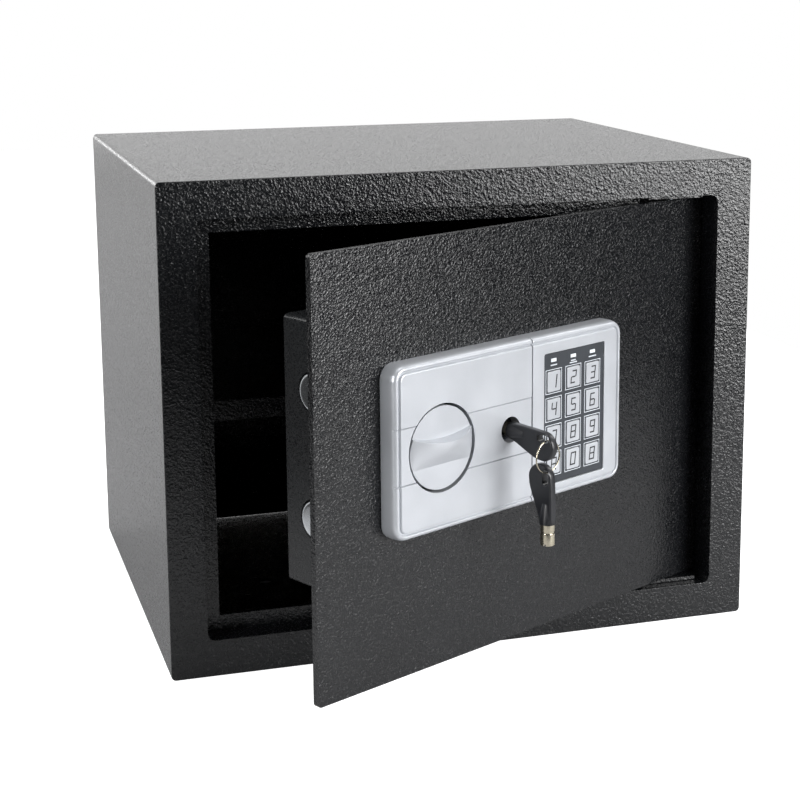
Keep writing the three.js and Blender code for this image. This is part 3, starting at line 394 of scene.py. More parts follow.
def zinc_plate(name, roughness):
    """Bright zinc on steel: a grey metal with a faint blue cloud, and drawn lines coarse enough to show."""
    material, tree, shader = new_material(name)
    coords = node(tree, "TexCoord")
    cloud = node(
        tree,
        "TexNoise",
        {"Scale": 1000 / 9, "Detail": 3.0},
        {"Vector": coords.outputs["Object"]},
    )
    tone = node(tree, "ValToRGB", links={"Fac": cloud.outputs["Fac"]})
    tone.color_ramp.elements[0].color = linear("#8f979f")
    tone.color_ramp.elements[1].color = linear("#b4bac0")
    squeeze = node(
        tree,
        "Mapping",
        {"Scale": (1.0, 1.0, 12.0)},
        {"Vector": coords.outputs["Object"]},
    )
    lines = node(
        tree,
        "TexNoise",
        {"Scale": 1000 / 2.5, "Detail": 2.0},
        {"Vector": squeeze.outputs["Vector"]},
    )
    gloss = node(
        tree,
        "MapRange",
        {"To Min": roughness - 0.06, "To Max": roughness + 0.12},
        {"Value": lines.outputs["Fac"]},
    )
    bump = node(tree, "Bump", {"Strength": 0.25, "Distance": 0.02 * MM}, {"Height": lines.outputs["Fac"]})
    tree.links.new(tone.outputs["Color"], shader.inputs["Base Color"])
    tree.links.new(gloss.outputs[0], shader.inputs["Roughness"])
    tree.links.new(bump.outputs["Normal"], shader.inputs["Normal"])
    shader.inputs["Metallic"].default_value = 1.0
    return material


zinc = zinc_plate("bright_zinc_plated_steel", 0.34)
PIN_EDGE = 0.5

for name in ("hinge_pin_bottom", "hinge_pin_top"):
    bm = loose_copy(name)
    round_edges(bm, PIN_EDGE)
    finish_piece(bm, name + "_turned", zinc, "cabinet", [name])

# --- Door plate and hinge knuckles ----------------------------------------------------------------
# A 4 mm laser-cut steel plate with its corners eased, in the same hammertone powder. The knuckles are welded
# behind it, and turn on the pins.

hinge = next(joint for joint in frame["joints"] if joint["name"] == "door_hinge")
pivot = Vector(hinge["pos_m"])
door_angle = radians(-hinge["range_deg"][0])
opened = (
    Matrix.Translation(pivot) @ Matrix.Rotation(door_angle, 4, "Z") @ Matrix.Translation(-pivot)
)
shut = opened.inverted()


def shut_box(name):
    """Lowest and highest corners of a door node when the door is shut."""
    corners = [shut @ vert.co for vert in frame["nodes"][name].data.vertices]
    return (
        Vector([min(co[axis] for co in corners) for axis in range(3)]),
        Vector([max(co[axis] for co in corners) for axis in range(3)]),
    )


DOOR_EDGE, KNUCKLE_EDGE = 0.9, 0.6

bm = loose_copy("door_plate", shut)
round_edges(bm, DOOR_EDGE, 4)
finish_piece(bm, "door_leaf", hammertone, "door", ["door_plate"], opened)

for name in ("hinge_knuckle_bottom", "hinge_knuckle_top"):
    bm = loose_copy(name, shut)
    round_edges(bm, KNUCKLE_EDGE)
    finish_piece(bm, name + "_coated", hammertone, "door", [name], opened)

# --- Lock housing ---------------------------------------------------------------------------------
# A folded box of 1.2 mm sheet, screwed over the boltwork behind the door. Its powder went on thinner, so its
# pebbles are finer and lower.

fine_powder = powder_coat("black_fine_powder_coat", 0.8, 0.06, 0.18, ("#0c0d0f", "#0f1113"))
FOLD_RADIUS = 0.5

bm = loose_copy("lock_housing", shut)
round_edges(bm, FOLD_RADIUS)
finish_piece(bm, "lock_cover", fine_powder, "door", ["lock_housing"], opened)

# --- Bolts ----------------------------------------------------------------------------------------
# Two solid steel bolts on one carriage. They are turned with a rounded nose round a flat end, and then bright
# chrome plated.


def bright_metal(name, low, high, roughness, grain):
    """A plated metal: almost a mirror, with a faint cloud and turning marks of the given size in mm."""
    material, tree, shader = new_material(name)
    coords = node(tree, "TexCoord")
    marks = node(
        tree,
        "TexNoise",
        {"Scale": 1000 / grain, "Detail": 3.0},
        {"Vector": coords.outputs["Object"]},
    )
    tone = node(tree, "ValToRGB", links={"Fac": marks.outputs["Fac"]})
    tone.color_ramp.elements[0].color = linear(low)
    tone.color_ramp.elements[1].color = linear(high)
    gloss = node(
        tree,
        "MapRange",
        {"To Min": roughness, "To Max": roughness + 0.12},
        {"Value": marks.outputs["Fac"]},
    )
    bump = node(tree, "Bump", {"Strength": 0.2, "Distance": 0.03 * MM}, {"Height": marks.outputs["Fac"]})
    tree.links.new(tone.outputs["Color"], shader.inputs["Base Color"])
    tree.links.new(gloss.outputs[0], shader.inputs["Roughness"])
    tree.links.new(bump.outputs["Normal"], shader.inputs["Normal"])
    shader.inputs["Metallic"].default_value = 1.0
    return material


chrome = bright_metal("bright_chrome_plate", "#c4c8cc", "#e2e5e8", 0.1, 4.0)
BOLT_NOSE = 2.3
BOLT_NOSE_FLAT = 1.2
BOLT_CHAMFER = 0.8
NOSE_STEPS = 6


def spun(points, centre, axis, steps=64):
    """Spins a half profile of (radius, along) points in mm about an axis through the centre."""
    bm = bmesh.new()
    verts = [bm.verts.new((radius * MM, 0, along * MM)) for radius, along in points]
    edges = [bm.edges.new(pair) for pair in zip(verts, verts[1:])]
    bmesh.ops.spin(
        bm,
        geom=verts + edges,
        cent=(0, 0, 0),
        axis=(0, 0, 1),
        dvec=(0, 0, 0),
        angle=2 * pi,
        steps=steps,
        use_merge=True,
    )
    turn = Matrix.Translation(centre) @ Vector((0, 0, 1)).rotation_difference(axis).to_matrix().to_4x4()
    bmesh.ops.transform(bm, matrix=turn, verts=bm.verts)
    bmesh.ops.remove_doubles(bm, verts=bm.verts, dist=MERGE)
    return bm


for name in ("bolt_upper", "bolt_lower"):
    low, high = shut_box(name)
    radius = (high.z - low.z) / 2 / MM
    length = (high.x - low.x) / MM
    arc = [
        (radius - BOLT_NOSE * (1 - sin(turn)), BOLT_NOSE * (1 - cos(turn)))
        for turn in [pi / 2 * step / NOSE_STEPS for step in range(NOSE_STEPS + 1)]
    ]
    profile = [(0, 0), (radius - BOLT_NOSE - BOLT_NOSE_FLAT, 0)] + arc
    profile += [(radius, length - BOLT_CHAMFER), (radius - BOLT_CHAMFER, length), (0, length)]
    bm = spun(profile, (low.x, (low.y + high.y) / 2, (low.z + high.z) / 2), Vector((1, 0, 0)))
    finish_piece(bm, name + "_chromed", chrome, "bolts", [name], opened, crease=50)

# --- Front panel ----------------------------------------------------------------------------------
# Two ABS mouldings, painted satin silver, that meet at a seam. A low rim runs round the edge, and a shallow
# channel inside it. The knob's band lies a hair below the rest of the face.

# Steps in mm, inwards and outwards: the round outer wall, the channel behind it, and the edge of the plate.
RIM_PROFILE = [(0.15, 1.6), (0.25, 1.35), (0.4, 1.1), (0.6, 0.8), (0.7, 0.45), (0.7, 0.12)]
RIM_PROFILE += [(0.5, -0.25), (0.3, -0.5), (0.2, -0.4), (0.6, 0.0)]
RIM_PROFILE += [(0.15, 0.4), (0.25, 0.5), (0.4, 0.3), (0.5, 0.1)]
RIM_DEPTH = 6.0
PANEL_CORNER = 9.0
BAND_DEPTH = 0.2
GROOVE_HALF, GROOVE_DEPTH = 0.35, 1.0
BAND_HALF = 16.3


def silver_paint(name, low, high, roughness):
    """Satin silver paint on ABS: aluminium flake under a soft clear film. The real flake is too fine to show,
    so it is drawn ten times as coarse."""
    material, tree, shader = new_material(name)
    coords = node(tree, "TexCoord")
    flake = node(
        tree,
        "TexNoise",
        {"Scale": 1000 / 0.35, "Detail": 1.0},
        {"Vector": coords.outputs["Object"]},
    )
    drift = node(
        tree,
        "TexNoise",
        {"Scale": 1000 / 30, "Detail": 2.0},
        {"Vector": coords.outputs["Object"]},
    )
    blend = node(
        tree,
        "Math",
        {"operation": "MULTIPLY_ADD", 1: 0.4},
        {0: flake.outputs["Fac"], 2: drift.outputs["Fac"]},
    )
    tone = node(tree, "ValToRGB", links={"Fac": blend.outputs[0]})
    tone.color_ramp.elements[0].position = 0.45
    tone.color_ramp.elements[0].color = linear(low)
    tone.color_ramp.elements[1].position = 0.95
    tone.color_ramp.elements[1].color = linear(high)
    bump = node(tree, "Bump", {"Strength": 0.12, "Distance": 0.03 * MM}, {"Height": flake.outputs["Fac"]})
    tree.links.new(tone.outputs["Color"], shader.inputs["Base Color"])
    tree.links.new(bump.outputs["Normal"], shader.inputs["Normal"])
    shader.inputs["Metallic"].default_value = 0.4
    shader.inputs["Roughness"].default_value = roughness
    shader.inputs["Coat Weight"].default_value = 0.25
    shader.inputs["Coat Roughness"].default_value = 0.25
    return material


silver = silver_paint("satin_silver_painted_abs", "#adb0b5", "#babdc2", 0.34)

plate_low, plate_high = shut_box("panel_plate")
bezel_low, bezel_high = shut_box("keypad_bezel")
panel_low = plate_low.copy()
panel_high = bezel_high.copy()


def rounded_plate(low, high, y, radius, segments=10):
    """A flat face in the XZ plane at one depth, with round corners of a radius in mm."""
    bm = bmesh.new()
    corners = [(low.x, low.z), (high.x, low.z), (high.x, high.z), (low.x, high.z)]
    verts = [bm.verts.new((x, y, z)) for x, z in corners]
    bm.faces.new(verts)
    bmesh.ops.bevel(
        bm,
        geom=verts,
        offset=radius * MM,
        offset_type="OFFSET",
        affect="VERTICES",
        segments=segments,
        profile=0.5,
        material=-1,
    )
    return bm


def rise(bm, face, steps):
    """Insets and lifts a face towards -Y, step by step, by (inset, lift) in mm."""
    for inset, lift in steps:
        bmesh.ops.inset_region(bm, faces=[face], thickness=inset * MM, use_even_offset=True)
        bmesh.ops.translate(bm, vec=(0, -lift * MM, 0), verts=face.verts)
    return face


def cutter_rod(x, z, radius):
    """A rod along Y, of a radius in mm, that reaches through the whole panel."""
    front = panel_low.y - ROD_CLEARANCE * MM
    length = -front / MM
    profile = [(0, 0), (radius, 0), (radius, length), (0, length)]
    return spun(profile, (x, front, z), Vector((0, 1, 0)), ROD_SIDES)


def as_object(bm, name):
    """A plain object that holds the bmesh, for the boolean to work on."""
    bmesh.ops.recalc_face_normals(bm, faces=bm.faces)
    mesh = bpy.data.meshes.new(name)
    bm.to_mesh(mesh)
    bm.free()
    made = bpy.data.objects.new(name, mesh)
    bpy.context.scene.collection.objects.link(made)
    return made


def carved(bm, cutters):
    """The bmesh with each cutter taken away from it."""
    body = as_object(bm, "blank")
    tools = [as_object(cutter, "cutter") for cutter in cutters]
    for tool in tools:
        cut = body.modifiers.new("cut", "BOOLEAN")
        cut.operation = "DIFFERENCE"
        cut.solver = "EXACT"
        cut.object = tool
    evaluated = body.evaluated_get(bpy.context.evaluated_depsgraph_get())
    result = bmesh.new()
    result.from_mesh(evaluated.to_mesh())
    evaluated.to_mesh_clear()
    for spent in [body] + tools:
        mesh = spent.data
        bpy.data.objects.remove(spent)
        bpy.data.meshes.remove(mesh)
    bmesh.ops.remove_doubles(result, verts=result.verts, dist=MERGE)
    bmesh.ops.dissolve_limit(result, angle_limit=FLAT, verts=result.verts, edges=result.edges)
    return result


def panel_blank():
    """The whole panel as one closed block, with its rim, before it is parted at the seam."""
    bm = rounded_plate(panel_low, panel_high, panel_high.y, PANEL_CORNER)
    back = bm.faces[:][0]
    front = bmesh.ops.extrude_face_region(bm, geom=[back])["geom"]
    face = next(item for item in front if isinstance(item, bmesh.types.BMFace))
    depth = panel_high.y - panel_low.y
    straight = depth - sum(lift for _, lift in RIM_PROFILE) * MM
    bmesh.ops.translate(bm, vec=(0, -straight, 0), verts=face.verts)
    rise(bm, face, RIM_PROFILE)
    bmesh.ops.recalc_face_normals(bm, faces=bm.faces)
    return bm


def part_at(bm, x, keep_left):
    """Keeps one side of the plane at x, and closes the cut."""
    cut = bmesh.ops.bisect_plane(
        bm,
        geom=bm.verts[:] + bm.edges[:] + bm.faces[:],
        plane_co=(x, 0, 0),
        plane_no=(1, 0, 0),
        clear_outer=keep_left,
        clear_inner=not keep_left,
    )
    edges = [item for item in cut["geom_cut"] if isinstance(item, bmesh.types.BMEdge)]
    bmesh.ops.edgeloop_fill(bm, edges=edges)
    return bm


lock_middle = (shut_box("key_lock_barrel")[0] + shut_box("key_lock_barrel")[1]) / 2
knob_low, knob_high = shut_box("knob")
knob_middle = (knob_low + knob_high) / 2
window_low, window_high = shut_box("keypad_plate")
lock_z = lock_middle.z
KNOB_GAP = 1.6
LOCK_OPENING = 7.8
ROD_CLEARANCE = 10.0
ROD_SIDES = 96
SEAM_CHAMFER = 0.6
SEAM_DEPTH = 1.5
ON_PLANE = 0.01


def eased(bm, x, inside):
    """The front edge at the seam, eased back over a short way on the side given."""
    bmesh.ops.bisect_plane(
        bm,
        geom=bm.verts[:] + bm.edges[:] + bm.faces[:],
        plane_co=(x + inside * SEAM_CHAMFER * MM, 0, 0),
        plane_no=(1, 0, 0),
    )
    for vert in bm.verts:
        if abs(vert.co.x - x) < ON_PLANE * MM and vert.co.y < panel_high.y - SEAM_DEPTH * MM:
            vert.co.y += SEAM_CHAMFER * MM
    return bm


bm = eased(part_at(panel_blank(), plate_high.x, True), plate_high.x, -1)
bm = carved(
    bm,
    [
        cutter_rod(knob_middle.x, lock_z, (knob_high.x - knob_low.x) / 2 / MM + KNOB_GAP),
        cutter_rod(lock_middle.x, lock_z, LOCK_OPENING),
    ],
)
for edge_z in (lock_z - BAND_HALF * MM, lock_z + BAND_HALF * MM):
    for side in (-GROOVE_HALF, 0.0, GROOVE_HALF):
        bmesh.ops.bisect_plane(
            bm,
            geom=bm.verts[:] + bm.edges[:] + bm.faces[:],
            plane_co=(0, 0, edge_z + side * MM),
            plane_no=(0, 0, 1),
        )
for vert in bm.verts:
    off_middle = abs(vert.co.z - lock_z) / MM
    if vert.co.y > panel_low.y + RIM_DEPTH * MM:
        continue
    if abs(off_middle - BAND_HALF) < ON_PLANE:
        vert.co.y += GROOVE_DEPTH * MM
    elif off_middle < BAND_HALF:
        vert.co.y += BAND_DEPTH * MM
finish_piece(bm, "panel_moulding", silver, "door", ["panel_plate"], opened, crease=55)

# --- Keypad bezel ---------------------------------------------------------------------------------
# The second moulding, snapped to the first at the seam and painted the same silver. It has a bevelled window
# for the keys.

WINDOW_GAP = 0.3
WINDOW_CORNER, WINDOW_BEVEL = 1.0, 0.7
WINDOW_REACH, NEAR_FACE = 1 * MM, 0.05 * MM
CUTTER_AHEAD, CUTTER_LENGTH = 2 * MM, 20 * MM

bm = eased(part_at(panel_blank(), bezel_low.x, False), bezel_low.x, 1)
cutter = rounded_plate(window_low, window_high, panel_low.y - CUTTER_AHEAD, WINDOW_CORNER, 4)
window_size = window_high - window_low
bmesh.ops.scale(
    cutter,
    vec=(1 + 2 * WINDOW_GAP * MM / window_size.x, 1, 1 + 2 * WINDOW_GAP * MM / window_size.z),
    space=Matrix.Translation(-(window_low + window_high) / 2),
    verts=cutter.verts,
)
pushed = bmesh.ops.extrude_face_region(cutter, geom=cutter.faces[:])["geom"]
far_end = [item for item in pushed if isinstance(item, bmesh.types.BMVert)]
bmesh.ops.translate(cutter, vec=(0, CUTTER_LENGTH, 0), verts=far_end)
bm = carved(bm, [cutter])
window_edge = [
    edge
    for edge in bm.edges
    if all(
        abs(vert.co.y - panel_low.y) < NEAR_FACE
        and window_low.x - WINDOW_REACH < vert.co.x < window_high.x + WINDOW_REACH
        and window_low.z - WINDOW_REACH < vert.co.z < window_high.z + WINDOW_REACH
        for vert in edge.verts
    )
    and edge.calc_face_angle(0) > radians(40)
]
bmesh.ops.bevel(
    bm,
    geom=window_edge,
    offset=WINDOW_BEVEL * MM,
    offset_type="OFFSET",
    affect="EDGES",
    segments=3,
    profile=0.5,
    material=-1,
)
finish_piece(bm, "bezel_moulding", silver, "door", ["keypad_bezel"], opened, crease=55)

# --- Knob -----------------------------------------------------------------------------------------
# One silver moulding: a disc set a little below the panel, and a bar across it, scooped on top for the
# thumb. It sits on a steel spindle, which turns the crank behind the door.

KNOB_DISC = 5.0
GRIP_HEIGHT = 8.9
GRIP_ABOVE, GRIP_BELOW = 8.8, 9.6
GRIP_DIP = 3.6
GRIP_LIP = 0.5
KNOB_EDGE = 0.35
KNOB_COLUMNS, KNOB_ROWS = 72, 60
LIP_ROW, FOOT_ROW = 40, 12
LIP_SHARE = 0.25

radius = (knob_high.x - knob_low.x) / 2 / MM
disc_face = knob_high.y / MM - KNOB_DISC
bm = bmesh.new()
# A square grid is drawn out to the disc's outline. Its lower rows are the flat below the grip, the next ones
# the grip's rise, and the last ones the scooped lip and the flat above it.
bmesh.ops.create_grid(bm, x_segments=KNOB_COLUMNS, y_segments=KNOB_ROWS, size=1.0)
for vert in bm.verts:
    column, row = vert.co.x, round((vert.co.y + 1) / 2 * KNOB_ROWS)
    x = radius * sin(column * pi / 2)
    reach = sqrt(max(radius**2 - x**2, 0.0))
    arch = GRIP_HEIGHT * (1 - (x / radius) ** 2)
    crest = min(GRIP_ABOVE - GRIP_DIP * (1 - (x / radius) ** 2), reach)
    foot = -min(GRIP_BELOW, reach)
    if row <= FOOT_ROW:
        z, height = -reach + (foot + reach) * row / FOOT_ROW, 0.0
    elif row <= LIP_ROW:
        share = (row - FOOT_ROW) / (LIP_ROW - FOOT_ROW)
        z, height = foot + (crest - foot) * share, arch * (1 - (1 - share) ** 2)
    else:
        share = (row - LIP_ROW) / (KNOB_ROWS - LIP_ROW)
        top = min(crest + GRIP_LIP, reach)
        lip = share / LIP_SHARE
        beyond = max(share - LIP_SHARE, 0) / (1 - LIP_SHARE)
        z = crest + (top - crest) * min(lip, 1) + (reach - top) * beyond
        height = arch * sqrt(max(1 - lip**2, 0))
    vert.co = (x * MM, (disc_face - height) * MM, z * MM)
bmesh.ops.remove_doubles(bm, verts=bm.verts, dist=0.001 * MM)
bmesh.ops.dissolve_degenerate(bm, dist=0.0005 * MM, edges=bm.edges)
bmesh.ops.translate(bm, vec=(knob_middle.x, 0, lock_z), verts=bm.verts)
rim = [edge for edge in bm.edges if edge.is_boundary]
for back in (KNOB_EDGE, KNOB_DISC - KNOB_EDGE):
    moved = bmesh.ops.extrude_edge_only(bm, edges=rim)["geom"]
    rim = [item for item in moved if isinstance(item, bmesh.types.BMEdge)]
    verts = [item for item in moved if isinstance(item, bmesh.types.BMVert)]
    bmesh.ops.translate(bm, vec=(0, back * MM, 0), verts=verts)
bmesh.ops.holes_fill(bm, edges=rim)
bmesh.ops.recalc_face_normals(bm, faces=bm.faces)
finish_piece(bm, "knob_moulding", silver, "knob", ["knob"], opened, crease=35)


def coat_node(name, material):
    """Gives its finish to a CAD node that is shown as it is."""
    slots = frame["nodes"][name].data.materials
    slots.clear()
    slots.append(material)


# The spindle, the crank, the carriage and the other small steel pieces behind the door are zinc plated.
for name in (
    "knob_spindle",
    "crank_disc",
    "bolt_carriage",
    "guide_stud_middle",
    "guide_stud_lower",
    "solenoid_plunger",
    "plunger_spring",
    "key_lock_nut",
    "key_lock_tail",
):
    coat_node(name, zinc)

# --- Keypad film ----------------------------------------------------------------------------------
# A printed polyester film over a moulded plate: charcoal ink with a fine matt grain, and thin silver lines
# printed round each key and under each lamp.


def moulded(name, low, high, roughness, grain, relief):
    """A moulded or printed plastic: a tone that drifts a little, and the fine grain of a spark-eroded mould.
    Grain and relief are in mm, and drawn coarse enough to show."""
    material, tree, shader = new_material(name)
    coords = node(tree, "TexCoord")
    texture = node(
        tree,
        "TexNoise",
        {"Scale": 1000 / grain, "Detail": 2.0},
        {"Vector": coords.outputs["Object"]},
    )
    drift = node(
        tree,
        "TexNoise",
        {"Scale": 1000 / 18, "Detail": 3.0},
        {"Vector": coords.outputs["Object"]},
    )
    tone = node(tree, "ValToRGB", links={"Fac": drift.outputs["Fac"]})
    tone.color_ramp.elements[0].position = 0.3
    tone.color_ramp.elements[0].color = linear(low)
    tone.color_ramp.elements[1].position = 0.7
    tone.color_ramp.elements[1].color = linear(high)
    gloss = node(
        tree,
        "MapRange",
        {"To Min": roughness - 0.05, "To Max": roughness + 0.07},
        {"Value": drift.outputs["Fac"]},
    )
    bump = node(tree, "Bump", {"Strength": 0.5, "Distance": relief * MM}, {"Height": texture.outputs["Fac"]})
    tree.links.new(tone.outputs["Color"], shader.inputs["Base Color"])
    tree.links.new(gloss.outputs[0], shader.inputs["Roughness"])
    tree.links.new(bump.outputs["Normal"], shader.inputs["Normal"])
    return material


film = moulded("charcoal_printed_polyester", "#23272c", "#2b2f35", 0.42, 0.5, 0.02)
silver_ink = moulded("silver_screen_ink", "#b4b9bf", "#c6cbd0", 0.45, 0.4, 0.01)
coat_node("keypad_plate", film)

INK = 0.06
LINE = 0.42
OUTLINE_WIDTH, OUTLINE_HEIGHT = 14.2, 14.9
film_face = shut_box("keypad_plate")[0].y


def strip(bm, x0, z0, x1, z1, face, thickness):
    """A flat strip on a face that looks towards -Y, from corner to corner."""
    made = bmesh.ops.create_cube(bm, size=1.0)["verts"]
    bmesh.ops.scale(bm, vec=(x1 - x0, thickness, z1 - z0), verts=made)
    bmesh.ops.translate(bm, vec=((x0 + x1) / 2, face - thickness / 2, (z0 + z1) / 2), verts=made)
    return made


KEYS = ["1", "2", "3", "4", "5", "6", "7", "8", "9", "A", "0", "B"]
key_boxes = {label: shut_box("keypad_key_" + label) for label in KEYS}

bm = bmesh.new()
for low, high in key_boxes.values():
    middle = (low + high) / 2
    left, right = (middle.x + side * OUTLINE_WIDTH / 2 * MM for side in (-1, 1))
    foot, head = (middle.z + side * OUTLINE_HEIGHT / 2 * MM for side in (-1, 1))
    line = LINE * MM
    strip(bm, left, foot, right, foot + line, film_face, INK * MM)
    strip(bm, left, head - line, right, head, film_face, INK * MM)
    strip(bm, left, foot + line, left + line, head - line, film_face, INK * MM)
    strip(bm, right - line, foot + line, right, head - line, film_face, INK * MM)

# Plain dashes under each lamp: width and drop below it in mm.
LAMP_DASHES = ([(5.6, 2.6)], [(4.2, 2.4), (6.4, 3.7)], [(6.6, 2.6)])
LAMP_RISE = 6.6
DASH = 0.7
lamp_z = key_boxes["1"][1].z + LAMP_RISE * MM
for label, dashes in zip(("1", "2", "3"), LAMP_DASHES):
    centre = (key_boxes[label][0].x + key_boxes[label][1].x) / 2
    for width, drop in dashes:
        top = lamp_z - drop * MM
        reach = width / 2 * MM
        strip(bm, centre - reach, top - DASH * MM, centre + reach, top, film_face, INK * MM)
finish_piece(bm, "keypad_print", silver_ink, "door", turn=opened)

# --- Lamps ----------------------------------------------------------------------------------------
# A milky moulded light guide behind the film, with a stub in each lamp's window. It is clear acrylic with a
# little white in it, and glossy.

lens = moulded("milky_light_guide", "#c9cfd4", "#dde2e6", 0.2, 1.5, 0.01)
coat_node("indicator_lens", lens)

# --- Keys of the keypad ---------------------------------------------------------------------------
# Twelve caps with eased edges, moulded and painted the same silver. Each has its figure pad-printed on it in
# dark grey ink, in slanted strokes.

CAP_EDGE = 0.35
STROKE = 0.85
FIGURE_HALF_WIDTH, FIGURE_HALF_HEIGHT = 1.95, 3.6
FIGURE_SLANT = 0.13
# The seven strokes of a figure, end to end in half widths and half heights, and those each figure leaves out.
STROKES = {
    "top": (-1, 1, 1, 1),
    "middle": (-1, 0, 1, 0),
    "foot": (-1, -1, 1, -1),
    "upper_left": (-1, 0, -1, 1),
    "lower_left": (-1, -1, -1, 0),
    "upper_right": (1, 0, 1, 1),
    "lower_right": (1, -1, 1, 0),
}
LEFT_OUT = {
    "1": ("top", "middle", "foot", "upper_left", "lower_left"),
    "2": ("upper_left", "lower_right"),
    "3": ("upper_left", "lower_left"),
    "4": ("top", "foot", "lower_left"),
    "5": ("upper_right", "lower_left"),
    "6": ("upper_right",),
    "7": ("middle", "foot", "lower_left", "upper_left"),
    "8": (),
    "9": ("lower_left",),
    "A": ("foot",),
    "0": ("middle",),
    "B": (),
}
dark_ink = moulded("dark_grey_pad_ink", "#0f1113", "#16181b", 0.5, 0.4, 0.01)

for label, (low, high) in key_boxes.items():
    bm = loose_copy("keypad_key_" + label, shut)
    round_edges(bm, CAP_EDGE, where=lambda co: co.y < low.y + ON_PLANE * MM, angle=60)
    cad_name = "keypad_key_" + label
    finish_piece(
        bm, "keypad_cap_" + label, silver, cad_name, [cad_name], opened, crease=50
    )
    bm = bmesh.new()
    for name, (x0, z0, x1, z1) in STROKES.items():
        if name in LEFT_OUT[label]:
            continue
        half = STROKE / 2
        if z0 == z1:
            ends = (half - FIGURE_HALF_WIDTH, z0 * FIGURE_HALF_HEIGHT - half)
            ends += (FIGURE_HALF_WIDTH - half, z0 * FIGURE_HALF_HEIGHT + half)
        else:
            ends = (x0 * FIGURE_HALF_WIDTH - half, z0 * (FIGURE_HALF_HEIGHT + half))
            ends += (x0 * FIGURE_HALF_WIDTH + half, z1 * (FIGURE_HALF_HEIGHT + half))
        strip(bm, *[end * MM for end in ends], 0.0, INK * MM)
    slant = Matrix.Identity(4)
    slant[0][2] = FIGURE_SLANT
    middle = (low + high) / 2
    place = opened @ Matrix.Translation((middle.x, low.y, middle.z)) @ slant
    finish_piece(bm, "keypad_figure_" + label, dark_ink, cad_name, turn=place)

# --- Override key lock ----------------------------------------------------------------------------
# A tubular cam lock, set deep in the panel: a turned barrel, and a plug with a ring-shaped keyway. Both are
# steel with a dark satin gloss, coloured near black as painted shade for the shadow deep in the lock opening.

# Painted shade: the barrel and plug are coloured near black to stand in for the shadow in the deep opening.
dark_steel_painted_shade = bright_metal("dark_steel_as_painted_shade", "#1c1d20", "#2c2e32", 0.28, 2.0)
BARREL_EDGE = 0.3

for name, body in {"key_lock_barrel": "door", "key_lock_plug": "lock_plug"}.items():
    bm = loose_copy(name, shut)
    round_edges(bm, BARREL_EDGE)
    finish_piece(bm, name + "_turned", dark_steel_painted_shade, body, [name], opened)

# --- Keys -----------------------------------------------------------------------------------------
# Two tubular keys: a nickel-plated tube, notched at its tip, in a moulded black head with a raised rim and
# a slot. One is in the lock, and the other hangs from it on a split ring.

nickel = bright_metal("bright_nickel_plate", "#a8a08c", "#ccc6b4", 0.16, 1.6)
black_abs = moulded("satin_black_abs", "#141518", "#1c1d21", 0.3, 0.6, 0.015)
TUBE_BORE = 0.63
TIP_EDGE = 0.3
NECK_DEPTH = 0.35
# Where the neck starts, is full depth, and ends, as shares of the tube's length.
NECK = (0.55, 0.58, 0.66, 0.69)
# Notches in the tip: where each is round the tube in degrees, and its depth in mm.
NOTCHES = {20: 1.0, 110: 0.6, 200: 1.2, 290: 0.8}
NOTCH_WIDTH = 1.5
FLAT_INSET, FLAT_STEP, FLAT_DEPTH = 0.25, 0.2, 0.35
SQUARE_ON, NEAR_SIDE = 0.999, 0.5 * MM

for name, tip_down in {"key": False, "spare_key": True}.items():
    low, high = shut_box(name + "_blade")
    middle = (low + high) / 2
    outer = (high.x - low.x) / 2 / MM
    inner = outer * TUBE_BORE
    neck = outer - NECK_DEPTH
    length = (high.z - low.z if tip_down else high.y - low.y) / MM
    profile = [
        (inner, 0),
        (outer - TIP_EDGE, 0),
        (outer, TIP_EDGE),
        (outer, length * NECK[0]),
        (neck, length * NECK[1]),
        (neck, length * NECK[2]),
        (outer, length * NECK[3]),
        (outer, length),
        (inner, length),
        (inner, 0),
    ]
    tube = spun(profile, (0, 0, 0), Vector((0, 0, 1)), 64)
    cutters = []
    for angle, deep in NOTCHES.items():
        notch = bmesh.new()
        bmesh.ops.create_cube(notch, size=1.0)
        bmesh.ops.scale(notch, vec=(outer * MM, NOTCH_WIDTH * MM, 2 * deep * MM), verts=notch.verts)
        bmesh.ops.translate(notch, vec=(outer * MM, 0, 0), verts=notch.verts)
        bmesh.ops.rotate(notch, matrix=Matrix.Rotation(radians(angle), 3, "Z"), verts=notch.verts)
        cutters.append(notch)
    bm = carved(tube, cutters)
    if tip_down:
        bmesh.ops.translate(bm, vec=(middle.x, middle.y, low.z), verts=bm.verts)
    else:
        bmesh.ops.rotate(bm, matrix=Matrix.Rotation(pi / 2, 3, "X"), verts=bm.verts)
        bmesh.ops.translate(bm, vec=(middle.x, high.y, middle.z), verts=bm.verts)
    finish_piece(bm, name + "_tube", nickel, name, [name + "_blade"], opened, crease=45)

    bm = loose_copy(name + "_head", shut)
    low, high = shut_box(name + "_head")
    for side in (low.x, high.x):
        flat = [
            face
            for face in bm.faces
            if abs(face.normal.x) > SQUARE_ON and abs(face.calc_center_median().x - side) < NEAR_SIDE
        ]
        for inset, depth in ((FLAT_INSET, 0.0), (FLAT_STEP, -FLAT_DEPTH)):
            bmesh.ops.inset_region(
                bm,
                faces=flat,
                thickness=inset * MM,
                depth=depth * MM,
                use_even_offset=True,
                use_boundary=True,
            )
    finish_piece(bm, name + "_grip", black_abs, name, [name + "_head"], opened, crease=60)

# --- Split ring -----------------------------------------------------------------------------------
# Two turns of spring wire, one against the other, nickel plated. It joins the two keys through the slots in
# their heads.

RING_TURNS = 2
RING_SHARE = 0.985
WIRE_SHARE = 0.97
STEPS_PER_TURN = 64
low, high = shut_box("key_ring")
ring_middle = (low + high) / 2
wire = (high.y - low.y) / 2 * WIRE_SHARE
ring_radius = (high.x - low.x) / 2 - wire / 2

